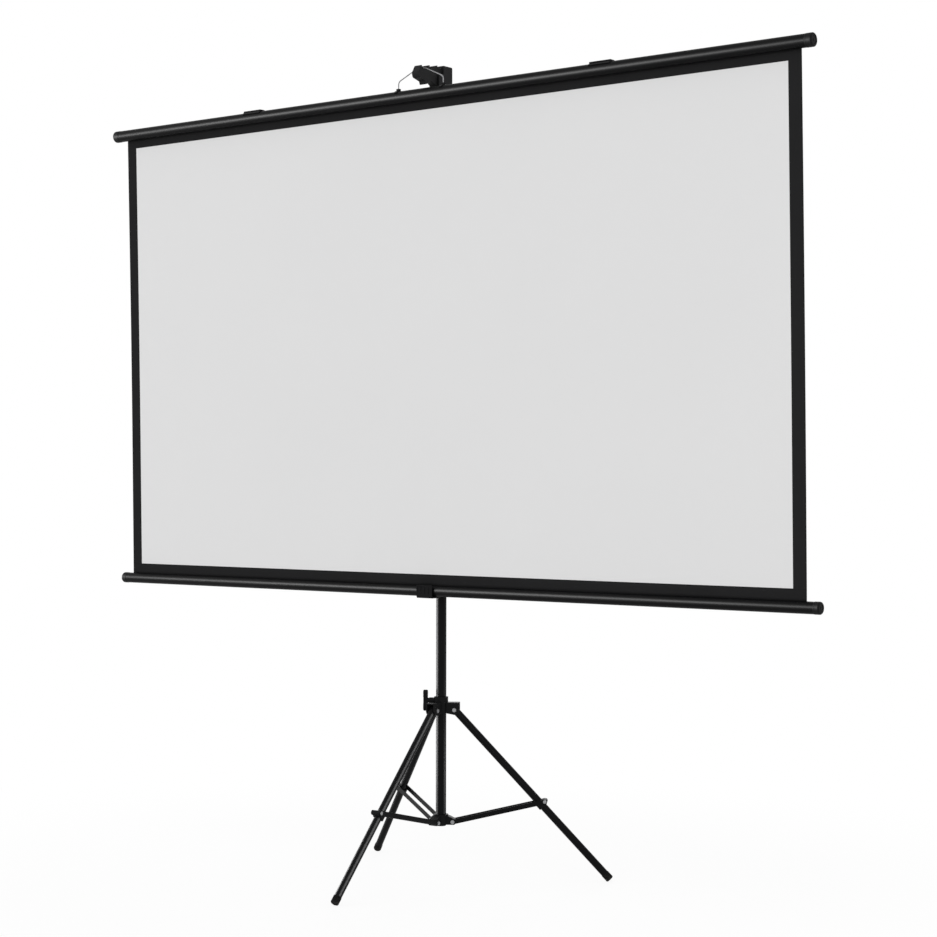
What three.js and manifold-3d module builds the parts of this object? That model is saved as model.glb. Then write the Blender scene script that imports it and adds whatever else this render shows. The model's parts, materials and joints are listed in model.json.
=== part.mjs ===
// Tripod projection screen: a spring-roller screen hung on a telescopic mast with a folding tripod.
// Millimetres, +Z up, and the screen faces -Y. The origin is on the floor, in the middle of the footprint.
import * as THREE from 'three';
import { mergeVertices } from 'three/addons/utils/BufferGeometryUtils.js';
import Module from 'manifold-3d';

const wasm = await Module();
wasm.setup();

// Clearances
const runningGap = 0.3; // between pieces that slide, turn or seat on each other
const boltGap = 0.4; // round a pivot bolt, and beside a piece that swings
const trayGap = 1; // under the weight bar in its hook

// Picture and fabric
const viewWidth = 2214; // 100 inch diagonal, 16:9
const viewHeight = 1245;
const sideBorder = 36.5;
const topBand = 39.4; // casing axis down to the top of the view
const bottomBand = 44; // bottom of the view down to the bar axis
const fabricThickness = 0.5;

// Casing, with its roller inside
const casingRadius = 16.5;
const casingWall = 1.2;
const casingEndRoom = 18.5; // fabric edge to the cap seam
const casingCapLength = 20;
const casingForward = 92; // mast axis forward to the casing axis
const rollerRadius = 9;
const rollerWall = 1;
const rollerEndRoom = 3.5; // fabric edge to the roller end
const plugDepth = 24;
const plugFlange = 3;
const spindleRadius = 3;
const spindleLength = 420;
const springWire = 0.8; // radius of the spring wire
const springCurls = 12;
const springPitch = 7;
const springSides = 5;
const springStepsPerCurl = 8;
const capSpigot = 14;
const capRim = 0.5; // how far a cap stands out past its tube
const capRound = 4;
const axleSocket = 12; // depth of the hole for the axle in a cap
const fabricSlot = 5;

// Weight bar
const barRadius = 15;
const barWall = 1.2;
const barCapLength = 17;
const barHeight = 779; // floor to the bar axis
const barForward = 54; // mast axis forward to the bar axis
const hemRodRadius = 3;

// Casing fittings
const clipSpacing = 1196;
const clipShift = -14; // middle of the pair, from the middle of the casing
const clipLength = 65;
const clipPadWidth = 18;
const clipRise = 4;
const saddleThickness = 2;
const saddleHalfAngle = THREE.MathUtils.degToRad(55);
const lugSpacing = 154;
const lugLength = 10;
const lugPadWidth = 8;
const lugRise = 7;
const bailWire = 1.5; // radius
const bailShoulder = 42; // casing axis up to the bend in each leg
const bailBend = 9; // length that each bend takes out of its straights
const bailHeight = 70; // casing axis up to the wire in the notch
const bailCrest = 4; // straight top of the wire, past each side of the arm
const bailSides = 6;
const bailSteps = 54;

// Mast and column
const columnRadius = 14;
const columnWall = 1.2;
const columnBottom = 146;
const columnTop = 1007;
const mastWall = 1.5;
const mastBottom = 607;
const bushFlange = 6;
const bushDepth = 30;
const plugLip = 4;
const footPlugDepth = 20;
const footPlugEdge = 1;

// Mast clamp
const clampWall = 4.4;
const clampBelow = 42; // column end down to the clamp foot
const clampAbove = 26;
const clampFootEdge = 1.5;
const clampTopInset = 3;
const clampTopDrop = 5;
const clampBossRadius = 9;
const clampBossReach = 10;

// Head with its notched arm
const headHalfWidth = 17;
const headBack = 23;
const headRound = 5;
const headCheekFront = 34;
const headCheekDrop = 4; // first notch down to the cheek tops
const headBelowNotch = 82;
const headAboveNotch = 19;
const socketWall = 2.2; // between the mast and the arm
const mastBelowNotch = 10; // notch bottom down to the mast top
const armHalfWidth = 11;
const armFootRise = 4; // foot of the socket up to the foot of the arm
const notchRadius = 9;
const notchCount = 3;
const notchClimb = 0.13; // how steeply the notches rise towards the mast
const rearLand = 1.7; // rear notch to the back of the arm
const noseLand = 4; // first notch to the slope of the nose
const noseLength = 24; // first notch forward to the nose
const noseDrop = 11; // first notch down to the nose, and so on for the other drops
const chinBack = 11; // nose to the end of the chin
const chinDrop = 26;
const lipBack = 6; // first notch back to the root of the lip
const lipRootDrop = 31;
const lipSlant = 3;
const lipWidth = 4;
const lipDrop = 39;
const throatBack = 31;
const throatDrop = 29;
const gussetBack = 60;
const gussetRound = 14;
const gussetDrop = 45;
const boltRadius = 3;
const boltHeadRadius = 5.5;
const boltHeadHeight = 3.4;
const armBoltBelowNotch = 55;
const armBoltForward = 25;

// Hook that holds the weight bar
const hookWidth = 54;
const hookWall = 3;
const hookSideRoom = 2.5; // on each side of the bar
const hookCorner = 3; // chamfer under the tray's corners
const hookLip = 1; // front wall above the bar
const hookBack = 8; // back wall above the bar
const hookWebHalf = 12;
const hookWebBelow = 8; // bar axis down to the bottom of the web and collar
const hookWebAbove = 18;
const hookCollarAbove = 28;
const hookCollarWall = 4.7;
const hookScrewRadius = 2.5;
const hookBossRadius = 6;
const hookBossReach = 6;
const hookScrewHead = 5;
const hookScrewEdge = 1;

// Tripod
const baseTurn = THREE.MathUtils.degToRad(2.4); // the tripod stands slightly turned under the screen
const legDirections = { front: -90, right: 30, left: 150 };
const legRadius = 10;
const legWall = 1.3;
const legLength = 616; // pivot to the end of the foot
const legSpread = THREE.MathUtils.degToRad(43); // from the vertical
const legHead = 8; // pivot to the top end of the tube
const strutStation = 345; // pivot to the strut pivot, along the leg
const footRadius = 11;
const footSleeve = 16; // length of the foot over the tube
const footEnd = 5; // and past its end
const footRound = 3.5;
const footHeight = 5.3; // middle of the foot's end above the floor
const footEdge = 1;

// Leg hub
const hubWall = 4.7;
const hubPivotReach = 18; // ring surface out to the leg pivots
const hubBelowPivot = 9;
const hubAbovePivot = 35;
const cheekThickness = 4;
const cheekRound = 13;
const webDrop = 16.5; // pivot up to the underside of the web over the leg
const webThickness = 3.5;
const knobRise = 24.5; // pivot up to the knob axis
const knobDirection = THREE.MathUtils.degToRad(-150);
const hubBossRadius = 8;
const hubBossReach = 13;

// Lower collar and struts
const collarHeight = 27;
const collarWall = 6;
const collarPivotReach = 12.7; // ring surface out to the strut pivots
const collarPivotRise = 8;
const collarRound = 9;
const lobeShoulder = 2; // how far the lobe's top runs out from the ring
const lobeDrop = 4; // top of the ring down to the lobe
const bracketWall = 2.1; // leg surface out to the strut seat
const bracketSide = 2.5; // leg surface out to the other two sides
const bracketLength = 16;
const bracketRound = 6;
const strutWidth = 13;
const strutThickness = 2.5;
const rivetRadius = 2.4;
const rivetSideRoom = 0.6; // leg surface out to the rivet
const rivetHeadRadius = 5;
const rivetHeadHeight = 2.4;

// Thumb knobs
const knobWing = 57;
const knobThickness = 16;
const knobWaist = 10;
const knobDepth = 12;
const knobNeck = 4;
const knobNeckRadius = 7;

// Numbers of sides
const tubeSides = 20;
const rodSides = 12;
const arcSteps = 6;
const slottedTubeSteps = 24;

// Sizes that follow
const fabricWidth = viewWidth + 2 * sideBorder;
const drop = topBand + viewHeight + bottomBand;
const fabricOffset = rollerRadius + runningGap + fabricThickness / 2;
const casingHalf = fabricWidth / 2 + casingEndRoom;
const rollerHalf = fabricWidth / 2 - rollerEndRoom;
const barHalf = casingHalf + casingCapLength - barCapLength;
const axisReach = Math.hypot(drop, fabricOffset); // casing axis to bar axis
const tilt = Math.asin((casingForward - barForward) / axisReach) - Math.atan2(fabricOffset, drop);
const casingHeight = barHeight + drop * Math.cos(tilt) - fabricOffset * Math.sin(tilt);
const columnBore = columnRadius - columnWall;
const mastRadius = columnBore - runningGap;
const notchBottom = casingHeight + bailHeight - bailWire - runningGap;
const mastTop = notchBottom - mastBelowNotch;
const collarBore = columnRadius + runningGap;
const hubRadius = collarBore + hubWall;
const hubPivotRadius = hubRadius + hubPivotReach;
const hubPivotHeight = legLength * Math.cos(legSpread) + footHeight;
const collarRadius = collarBore + collarWall;
const collarPivotRadius = collarRadius + collarPivotReach;
const collarPivotHeight = columnBottom + collarPivotRise;
const strutSeat = legRadius + bracketWall;
const strutInner = strutSeat + boltGap;
const strutOuter = strutInner + strutThickness;
const strutOffset = legRadius + rivetSideRoom + rivetRadius; // leg axis out to the strut pivot
const strutOutFromHub = strutStation * Math.sin(legSpread) + strutOffset * Math.cos(legSpread);
const strutDropFromHub = strutStation * Math.cos(legSpread) - strutOffset * Math.sin(legSpread);
const strutReach = hubPivotRadius + strutOutFromHub - collarPivotRadius;
const strutRise = hubPivotHeight - strutDropFromHub - collarPivotHeight;
const strutLength = Math.hypot(strutReach, strutRise);
const strutElevation = Math.atan2(strutRise, strutReach);
const cheekInner = legRadius + boltGap;
const cheekOuter = cheekInner + cheekThickness;

// Finishes
const finishes = {
  blackSteel: { color: 0x18181a, roughness: 0.32, metalness: 0.55 },
  blackPlastic: { color: 0x141415, roughness: 0.5, metalness: 0 },
  rubber: { color: 0x101010, roughness: 0.8, metalness: 0 },
  brightSteel: { color: 0xa9abad, roughness: 0.28, metalness: 1 },
  plainSteel: { color: 0x77797c, roughness: 0.45, metalness: 0.9 },
  screenCloth: { color: 0xdbdbdb, roughness: 0.9, metalness: 0 },
};

function piece(name, geometry, finish) {
  const mesh = new THREE.Mesh(geometry, new THREE.MeshStandardMaterial(finishes[finish]));
  mesh.name = name;
  return mesh;
}

// Joins and cuts
function solid(geometry) {
  const bare = new THREE.BufferGeometry();
  bare.setAttribute('position', geometry.getAttribute('position'));
  bare.setIndex(geometry.index);
  const merged = mergeVertices(bare, 1e-4);
  const triangles = [];
  for (let first = 0; first < merged.index.count; first += 3) {
    const corners = [0, 1, 2].map((step) => merged.index.getX(first + step));
    if (new Set(corners).size === 3) triangles.push(...corners);
  }
  const vertProperties = Float32Array.from(merged.getAttribute('position').array);
  const triVerts = Uint32Array.from(triangles);
  return new wasm.Manifold(new wasm.Mesh({ numProp: 3, vertProperties, triVerts }));
}

function shaped(additions, cuts = []) {
  let body = solid(additions[0]);
  for (const addition of additions.slice(1)) body = body.add(solid(addition));
  for (const cut of cuts) body = body.subtract(solid(cut));
  const mesh = body.getMesh();
  const geometry = new THREE.BufferGeometry();
  geometry.setAttribute('position', new THREE.BufferAttribute(mesh.vertProperties, 3));
  geometry.setIndex(new THREE.BufferAttribute(mesh.triVerts, 1));
  return geometry;
}

// Turned shapes stand on the Z axis, with profiles as [radius, height] from the inside round to the outside
function turned(profile, sides = tubeSides) {
  const points = profile.map(([radius, height]) => new THREE.Vector2(radius, height));
  return new THREE.LatheGeometry(points, sides).rotateX(Math.PI / 2);
}

function rod(radius, from, to, sides = rodSides) {
  return turned([[0, from], [radius, from], [radius, to], [0, to]], sides);
}

function tube(bore, radius, from, to, sides = tubeSides) {
  return turned([[bore, from], [radius, from], [radius, to], [bore, to], [bore, from]], sides);
}

const zToX = (geometry) => geometry.rotateY(Math.PI / 2);
const zToY = (geometry) => geometry.rotateX(-Math.PI / 2);

function crossHole(radius, halfLength) {
  return zToY(rod(radius, -halfLength, halfLength));
}

// Outlines are drawn as (y, z) and drawn out along X, or as (x, z) and drawn out along Y
function alongX(outline, from, to, steps = arcSteps) {
  const basis = new THREE.Matrix4().makeBasis(
    new THREE.Vector3(0, 1, 0),
    new THREE.Vector3(0, 0, 1),
    new THREE.Vector3(1, 0, 0),
  );
  const options = { depth: to - from, bevelEnabled: false, curveSegments: steps };
  return new THREE.ExtrudeGeometry(outline, options).applyMatrix4(basis).translate(from, 0, 0);
}

function alongY(outline, from, to) {
  const basis = new THREE.Matrix4().makeBasis(
    new THREE.Vector3(1, 0, 0),
    new THREE.Vector3(0, 0, 1),
    new THREE.Vector3(0, -1, 0),
  );
  const options = { depth: to - from, bevelEnabled: false, curveSegments: arcSteps };
  return new THREE.ExtrudeGeometry(outline, options).applyMatrix4(basis).translate(0, to, 0);
}

function block(x0, x1, y0, y1, z0, z1) {
  const middle = [(x0 + x1) / 2, (y0 + y1) / 2, (z0 + z1) / 2];
  return new THREE.BoxGeometry(x1 - x0, y1 - y0, z1 - z0).translate(...middle);
}

function roundedRectangle(left, right, bottom, top, round) {
  const outline = new THREE.Shape();
  outline.moveTo(left + round, bottom);
  outline.absarc(right - round, bottom + round, round, -Math.PI / 2, 0);
  outline.absarc(right - round, top - round, round, 0, Math.PI / 2);
  outline.absarc(left + round, top - round, round, Math.PI / 2, Math.PI);
  outline.absarc(left + round, bottom + round, round, Math.PI, 1.5 * Math.PI);
  return outline;
}

// A bolt along Y: its shank, a domed head at one end and a nut-sized dome at the other
function crossBolt(radius, headRadius, headHeight, halfGrip) {
  const rim = halfGrip + 0.4 * headHeight;
  const end = halfGrip + headHeight;
  const crown = 0.7 * headRadius;
  const profile = [
    [0, -end],
    [crown, -end],
    [headRadius, -rim],
    [headRadius, -halfGrip],
    [radius, -halfGrip],
    [radius, halfGrip],
    [headRadius, halfGrip],
    [headRadius, rim],
    [crown, end],
    [0, end],
  ];
  return zToY(turned(profile, rodSides));
}

// A winged thumb knob on its screw: the screw runs along Z, and the wing lies along X
function thumbKnob(tip, seat) {
  const half = knobWing / 2;
  const round = knobThickness / 2;
  const waist = knobWaist / 2;
  const outline = new THREE.Shape();
  outline.moveTo(0, -waist);
  outline.quadraticCurveTo(half - 2 * round, -waist, half - round, -round);
  outline.absarc(half - round, 0, round, -Math.PI / 2, Math.PI / 2);
  outline.quadraticCurveTo(half - 2 * round, waist, 0, waist);
  outline.quadraticCurveTo(2 * round - half, waist, round - half, round);
  outline.absarc(round - half, 0, round, Math.PI / 2, 1.5 * Math.PI);
  outline.quadraticCurveTo(2 * round - half, -waist, 0, -waist);
  const bevel = 1.5;
  const wing = new THREE.ExtrudeGeometry(outline, {
    depth: knobDepth - 2 * bevel,
    bevelSize: bevel,
    bevelThickness: bevel,
    bevelOffset: -bevel,
    bevelSegments: 1,
    curveSegments: 5,
  });
  wing.translate(0, 0, seat + knobNeck + bevel);
  const neck = rod(knobNeckRadius, seat, seat + knobNeck + bevel);
  return shaped([wing, neck, rod(boltRadius, tip, seat + bevel)]);
}

// An end cap closes a tube that runs up to height 0: it has a spigot below and a rounded end above
function endCap(tubeRadius, tubeWall, length, spigotLength, axleRadius) {
  const outer = tubeRadius + capRim;
  const spigot = tubeRadius - tubeWall - runningGap;
  const rounding = [0, 1, 2, 3, 4].map((step) => {
    const angle = (step / 4) * (Math.PI / 2);
    return [outer - capRound + capRound * Math.cos(angle), length - capRound + capRound * Math.sin(angle)];
  });
  const start = axleRadius
    ? [[0, axleSocket - spigotLength], [axleRadius + runningGap, axleSocket - spigotLength],
      [axleRadius + runningGap, -spigotLength]]
    : [[0, -spigotLength]];
  const profile = [
    ...start,
    [spigot, -spigotLength],
    [spigot, runningGap],
    [outer, runningGap],
    ...rounding,
    [0, length],
  ];
  return turned(profile);
}

// A tube along X with a slot along it, centred on an angle in the (y, z) plane
function slottedTube(radius, wall, halfLength, slotAngle) {
  const halfSlot = Math.asin(fabricSlot / 2 / radius);
  const from = slotAngle + halfSlot;
  const to = slotAngle - halfSlot + 2 * Math.PI;
  const outline = new THREE.Shape();
  outline.absarc(0, 0, radius, from, to, false);
  outline.absarc(0, 0, radius - wall, to, from, true);
  return alongX(outline, -halfLength, halfLength, slottedTubeSteps);
}

// A saddle lies on the casing and carries a pad; the outline is round the casing axis
function saddle(padWidth, rise, length) {
  const inner = casingRadius + runningGap;
  const outer = inner + saddleThickness;
  const padAngle = Math.acos(padWidth / 2 / outer);
  const right = Math.PI / 2 - saddleHalfAngle;
  const left = Math.PI / 2 + saddleHalfAngle;
  const outline = new THREE.Shape();
  outline.absarc(0, 0, outer, Math.PI - padAngle, left, false);
  outline.absarc(0, 0, inner, left, right, true);
  outline.absarc(0, 0, outer, right, padAngle, false);
  outline.lineTo(padWidth / 2, casingRadius + rise);
  outline.lineTo(-padWidth / 2, casingRadius + rise);
  return alongX(outline, -length / 2, length / 2);
}

// Spring: a helix along X
class SpringCurve extends THREE.Curve {
  constructor(start, radius, pitch, curls) {
    super();
    Object.assign(this, { start, radius, pitch, curls, arcLengthDivisions: curls * 40 });
  }

  getPoint(t, target = new THREE.Vector3()) {
    const angle = 2 * Math.PI * this.curls * t;
    const along = this.start + this.pitch * this.curls * t;
    return target.set(along, this.radius * Math.cos(angle), this.radius * Math.sin(angle));
  }
}

function roundWire(path, radius, sides, steps) {
  const section = new THREE.Shape();
  for (let side = 0; side < sides; side += 1) {
    const angle = (2 * Math.PI * side) / sides;
    const point = [radius * Math.cos(angle), radius * Math.sin(angle)];
    if (side === 0) section.moveTo(...point);
    else section.lineTo(...point);
  }
  return new THREE.ExtrudeGeometry(section, { extrudePath: path, steps, bevelEnabled: false });
}

// Column and mast
const stand = new THREE.Group();

function addColumnAndMast() {
  const column = tube(columnBore, columnRadius, columnBottom, columnTop);
  const mast = tube(mastRadius - mastWall, mastRadius, mastBottom, mastTop);
  const plugRadius = columnBore - runningGap;
  const footPlug = turned([
    [0, columnBottom - plugLip],
    [columnRadius - footPlugEdge, columnBottom - plugLip],
    [columnRadius, columnBottom - plugLip + footPlugEdge],
    [columnRadius, columnBottom - runningGap],
    [plugRadius, columnBottom - runningGap],
    [plugRadius, columnBottom + footPlugDepth],
    [0, columnBottom + footPlugDepth],
  ]);
  const bushRadius = mastRadius - mastWall - runningGap;
  const bush = turned([
    [0, mastBottom - bushFlange],
    [mastRadius, mastBottom - bushFlange],
    [mastRadius, mastBottom - runningGap],
    [bushRadius, mastBottom - runningGap],
    [bushRadius, mastBottom + bushDepth],
    [0, mastBottom + bushDepth],
  ]);
  stand.add(
    piece('column', column, 'blackSteel'),
    piece('column_foot_plug', footPlug, 'blackPlastic'),
    piece('mast', mast, 'blackSteel'),
    piece('mast_guide_bush', bush, 'blackPlastic'),
  );
}

// The clamp sits on the column end and grips the mast with a thumb screw behind
function addMastClamp() {
  const bodyRadius = collarBore + clampWall;
  const shoulder = columnTop + runningGap;
  const foot = columnTop - clampBelow;
  const top = columnTop + clampAbove;
  const mastBore = mastRadius + runningGap;
  const body = turned([
    [collarBore, foot],
    [bodyRadius - clampFootEdge, foot],
    [bodyRadius, foot + clampFootEdge],
    [bodyRadius, top - clampTopDrop],
    [bodyRadius - clampTopInset, top],
    [mastBore, top],
    [mastBore, shoulder],
    [collarBore, shoulder],
    [collarBore, foot],
  ]);
  const screwHeight = columnTop + clampAbove / 2;
  const bossEnd = bodyRadius + clampBossReach;
  const boss = zToY(rod(clampBossRadius, mastBore + 1, bossEnd)).translate(0, 0, screwHeight);
  const hole = zToY(rod(boltRadius + runningGap, 0, bossEnd + 1)).translate(0, 0, screwHeight);
  const bore = rod(mastBore, shoulder - 1, top + 1, tubeSides);
  const columnHole = rod(collarBore, foot - 1, shoulder, tubeSides);
  const clamp = piece('mast_clamp', shaped([body, boss], [bore, columnHole, hole]), 'blackPlastic');
  const knob = piece('mast_clamp_knob', thumbKnob(mastBore, bossEnd + runningGap), 'blackPlastic');
  knob.rotation.set(-Math.PI / 2, 0, Math.PI / 2, 'XZY');
  knob.position.z = screwHeight;
  stand.add(clamp, knob);
}

// Side of the arm: the notches climb along its top, and a small lip hangs under its nose
function armOutline(tail) {
  const firstNotch = -casingForward;
  const pitch = (tail - rearLand - notchRadius - firstNotch) / (notchCount - 1);
  const topAt = (y) => notchBottom + notchRadius + notchClimb * (y - firstNotch);
  const noseTop = firstNotch - notchRadius - noseLand;
  const noseTip = firstNotch - noseLength;
  const chin = notchBottom - chinDrop;
  const lip = firstNotch + lipBack;
  const lipFoot = notchBottom - lipDrop;
  const throat = notchBottom - throatDrop;
  const gusset = firstNotch + gussetBack;
  const foot = notchBottom - headBelowNotch + armFootRise;
  const arm = new THREE.Shape();
  arm.moveTo(tail, foot);
  arm.lineTo(tail, topAt(tail));
  for (let notch = notchCount - 1; notch >= 0; notch -= 1) {
    const middle = firstNotch + notch * pitch;
    arm.absarc(middle, topAt(middle), notchRadius, 0, -Math.PI, true);
  }
  arm.lineTo(noseTop, topAt(noseTop));
  arm.lineTo(noseTip, notchBottom - noseDrop);
  arm.quadraticCurveTo(noseTip, chin, noseTip + chinBack, chin);
  arm.lineTo(lip, notchBottom - lipRootDrop);
  arm.lineTo(lip + lipSlant, lipFoot);
  arm.lineTo(lip + lipSlant + lipWidth, lipFoot);
  arm.quadraticCurveTo(lip + 2 * lipSlant + lipWidth, throat, firstNotch + throatBack, throat);
  arm.quadraticCurveTo(gusset - gussetRound, throat, gusset, notchBottom - gussetDrop);
  arm.lineTo(gusset, foot);
  return arm;
}

// Head: a socket on the mast top, with a notched arm held in it by a cross bolt
function addHead() {
  const armBack = -(mastRadius + runningGap + socketWall);
  const foot = notchBottom - headBelowNotch;
  const top = notchBottom + headAboveNotch;
  const cheekTop = notchBottom - headCheekDrop;
  const cheekRounding = 2 * headRound;
  const side = new THREE.Shape();
  side.moveTo(-headCheekFront, foot);
  side.lineTo(headBack - headRound, foot);
  side.absarc(headBack - headRound, foot + headRound, headRound, -Math.PI / 2, 0);
  side.absarc(headBack - headRound, top - headRound, headRound, 0, Math.PI / 2);
  side.lineTo(armBack, top);
  side.lineTo(armBack, cheekTop);
  side.absarc(cheekRounding - headCheekFront, cheekTop - cheekRounding, cheekRounding, Math.PI / 2, Math.PI);
  const boltHeight = notchBottom - armBoltBelowNotch;
  const boltHole = crossHole(boltRadius + runningGap, 2 * headHalfWidth)
    .rotateZ(Math.PI / 2)
    .translate(0, -armBoltForward, boltHeight);
  const slotHalf = armHalfWidth + runningGap;
  const slot = block(-slotHalf, slotHalf, -2 * headCheekFront, armBack, foot - 1, top + 1);
  const bore = rod(mastRadius + runningGap, foot - 1, mastTop + runningGap, tubeSides);
  const socket = shaped([alongX(side, -headHalfWidth, headHalfWidth)], [slot, bore, boltHole]);

  const arm = alongX(armOutline(armBack - runningGap), -armHalfWidth, armHalfWidth);
  const armSolid = shaped([arm], [boltHole]);

  const bolt = crossBolt(boltRadius, boltHeadRadius, boltHeadHeight, headHalfWidth + runningGap);
  bolt.rotateZ(Math.PI / 2).translate(0, -armBoltForward, boltHeight);
  stand.add(
    piece('head_socket', socket, 'blackPlastic'),
    piece('keystone_arm', armSolid, 'blackPlastic'),
    piece('arm_bolt', bolt, 'brightSteel'),
  );
}

// Hook: a tray for the weight bar, on a collar round the column
function addBarHook() {
  const inner = barRadius + hookSideRoom;
  const outer = inner + hookWall;
  const floor = barRadius + trayGap;
  const under = floor + hookWall;
  const cornerTop = hookCorner - floor;
  const frontTop = barRadius + hookLip;
  const backTop = barRadius + hookBack;
  const tray = new THREE.Shape();
  tray.moveTo(-outer, frontTop);
  tray.lineTo(-outer, cornerTop);
  tray.lineTo(hookCorner - outer, -under);
  tray.lineTo(outer - hookCorner, -under);
  tray.lineTo(outer, cornerTop);
  tray.lineTo(outer, backTop);
  tray.lineTo(inner, backTop);
  tray.lineTo(inner, -floor);
  tray.lineTo(-inner, -floor);
  tray.lineTo(-inner, frontTop);
  const trayBody = alongX(tray, -hookWidth / 2, hookWidth / 2).translate(0, -barForward, barHeight);
  const collarFoot = barHeight - hookWebBelow;
  const collarOuter = collarBore + hookCollarWall;
  const collar = tube(collarBore, collarOuter, collarFoot, barHeight + hookCollarAbove);
  const webBack = inner + hookWall / 2 - barForward;
  const web = block(-hookWebHalf, hookWebHalf, webBack, 0, collarFoot, barHeight + hookWebAbove);
  const screwHeight = barHeight + (hookCollarAbove - hookWebBelow) / 2;
  const bossEnd = collarOuter + hookBossReach;
  const boss = zToY(rod(hookBossRadius, collarBore, bossEnd)).translate(0, 0, screwHeight);
  const bore = rod(collarBore, collarFoot - 1, barHeight + hookCollarAbove + 1, tubeSides);
  const hole = zToY(rod(hookScrewRadius + runningGap, 0, bossEnd + 1)).translate(0, 0, screwHeight);
  const head = bossEnd + runningGap;
  const screw = zToY(turned([
    [0, collarBore],
    [hookScrewRadius, collarBore],
    [hookScrewRadius, head],
    [hookBossRadius, head],
    [hookBossRadius, head + hookScrewHead - hookScrewEdge],
    [hookBossRadius - hookScrewEdge, head + hookScrewHead],
    [0, head + hookScrewHead],
  ], rodSides)).translate(0, 0, screwHeight);
  stand.add(
    piece('bar_hook', shaped([trayBody, web, collar, boss], [bore, hole]), 'blackPlastic'),
    piece('hook_screw', screw, 'brightSteel'),
  );
}

// Tripod hub: a ring that slides on the column, with a pair of cheeks for each leg and a clamp screw
const tripod = new THREE.Group();
tripod.rotation.z = baseTurn;
const legAngles = Object.values(legDirections).map(THREE.MathUtils.degToRad);

function addHub() {
  const foot = hubPivotHeight - hubBelowPivot;
  const top = hubPivotHeight + hubAbovePivot;
  const webFoot = hubPivotHeight + webDrop;
  const webTop = webFoot + webThickness;
  const root = collarBore + 1;
  const cheekEnd = hubPivotRadius + cheekRound;
  const cheek = new THREE.Shape();
  cheek.moveTo(root, foot);
  cheek.lineTo(hubPivotRadius, hubPivotHeight - cheekRound);
  cheek.absarc(hubPivotRadius, hubPivotHeight, cheekRound, -Math.PI / 2, 0, false);
  cheek.lineTo(cheekEnd, webTop);
  cheek.lineTo(root, webTop);
  const ring = tube(collarBore, hubRadius, foot, top);
  const additions = [ring];
  const cuts = [rod(collarBore, foot - cheekRound, top + 1, tubeSides)];
  for (const angle of legAngles) {
    additions.push(
      alongY(cheek, cheekInner, cheekOuter).rotateZ(angle),
      alongY(cheek, -cheekOuter, -cheekInner).rotateZ(angle),
      block(root, cheekEnd, -cheekOuter, cheekOuter, webFoot, webTop).rotateZ(angle),
    );
    const hole = crossHole(boltRadius + runningGap, 2 * cheekOuter);
    cuts.push(hole.translate(hubPivotRadius, 0, hubPivotHeight).rotateZ(angle));
  }
  const knobHeight = hubPivotHeight + knobRise;
  const bossEnd = hubRadius + hubBossReach;
  const boss = zToX(rod(hubBossRadius, root, bossEnd)).translate(0, 0, knobHeight);
  const knobHole = zToX(rod(boltRadius + runningGap, 0, bossEnd + 1)).translate(0, 0, knobHeight);
  additions.push(boss.rotateZ(knobDirection));
  cuts.push(knobHole.rotateZ(knobDirection));
  const knob = piece('hub_knob', thumbKnob(collarBore, bossEnd + runningGap), 'blackPlastic');
  knob.rotation.set(0, Math.PI / 2, knobDirection, 'ZYX');
  knob.position.z = knobHeight;
  tripod.add(piece('leg_hub', shaped(additions, cuts), 'blackPlastic'), knob);
}

// Lower collar: fixed at the foot of the column, with a lobe between each pair of strut bars
function addLowerCollar() {
  const top = columnBottom + collarHeight;
  const root = collarBore + 1;
  const lobe = new THREE.Shape();
  lobe.moveTo(root, columnBottom);
  lobe.lineTo(collarPivotRadius, columnBottom);
  lobe.absarc(collarPivotRadius, collarPivotHeight, collarRound, -0.35 * Math.PI, 0.45 * Math.PI, false);
  lobe.lineTo(collarRadius + lobeShoulder, top - lobeDrop);
  lobe.lineTo(root, top - lobeDrop);
  const additions = [tube(collarBore, collarRadius, columnBottom, top)];
  const cuts = [rod(collarBore, columnBottom - 1, top + 1, tubeSides)];
  for (const angle of legAngles) {
    additions.push(alongY(lobe, -strutSeat, strutSeat).rotateZ(angle));
    const hole = crossHole(boltRadius + runningGap, 2 * strutSeat);
    cuts.push(hole.translate(collarPivotRadius, 0, collarPivotHeight).rotateZ(angle));
  }
  tripod.add(piece('lower_collar', shaped(additions, cuts), 'blackPlastic'));
}

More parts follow.
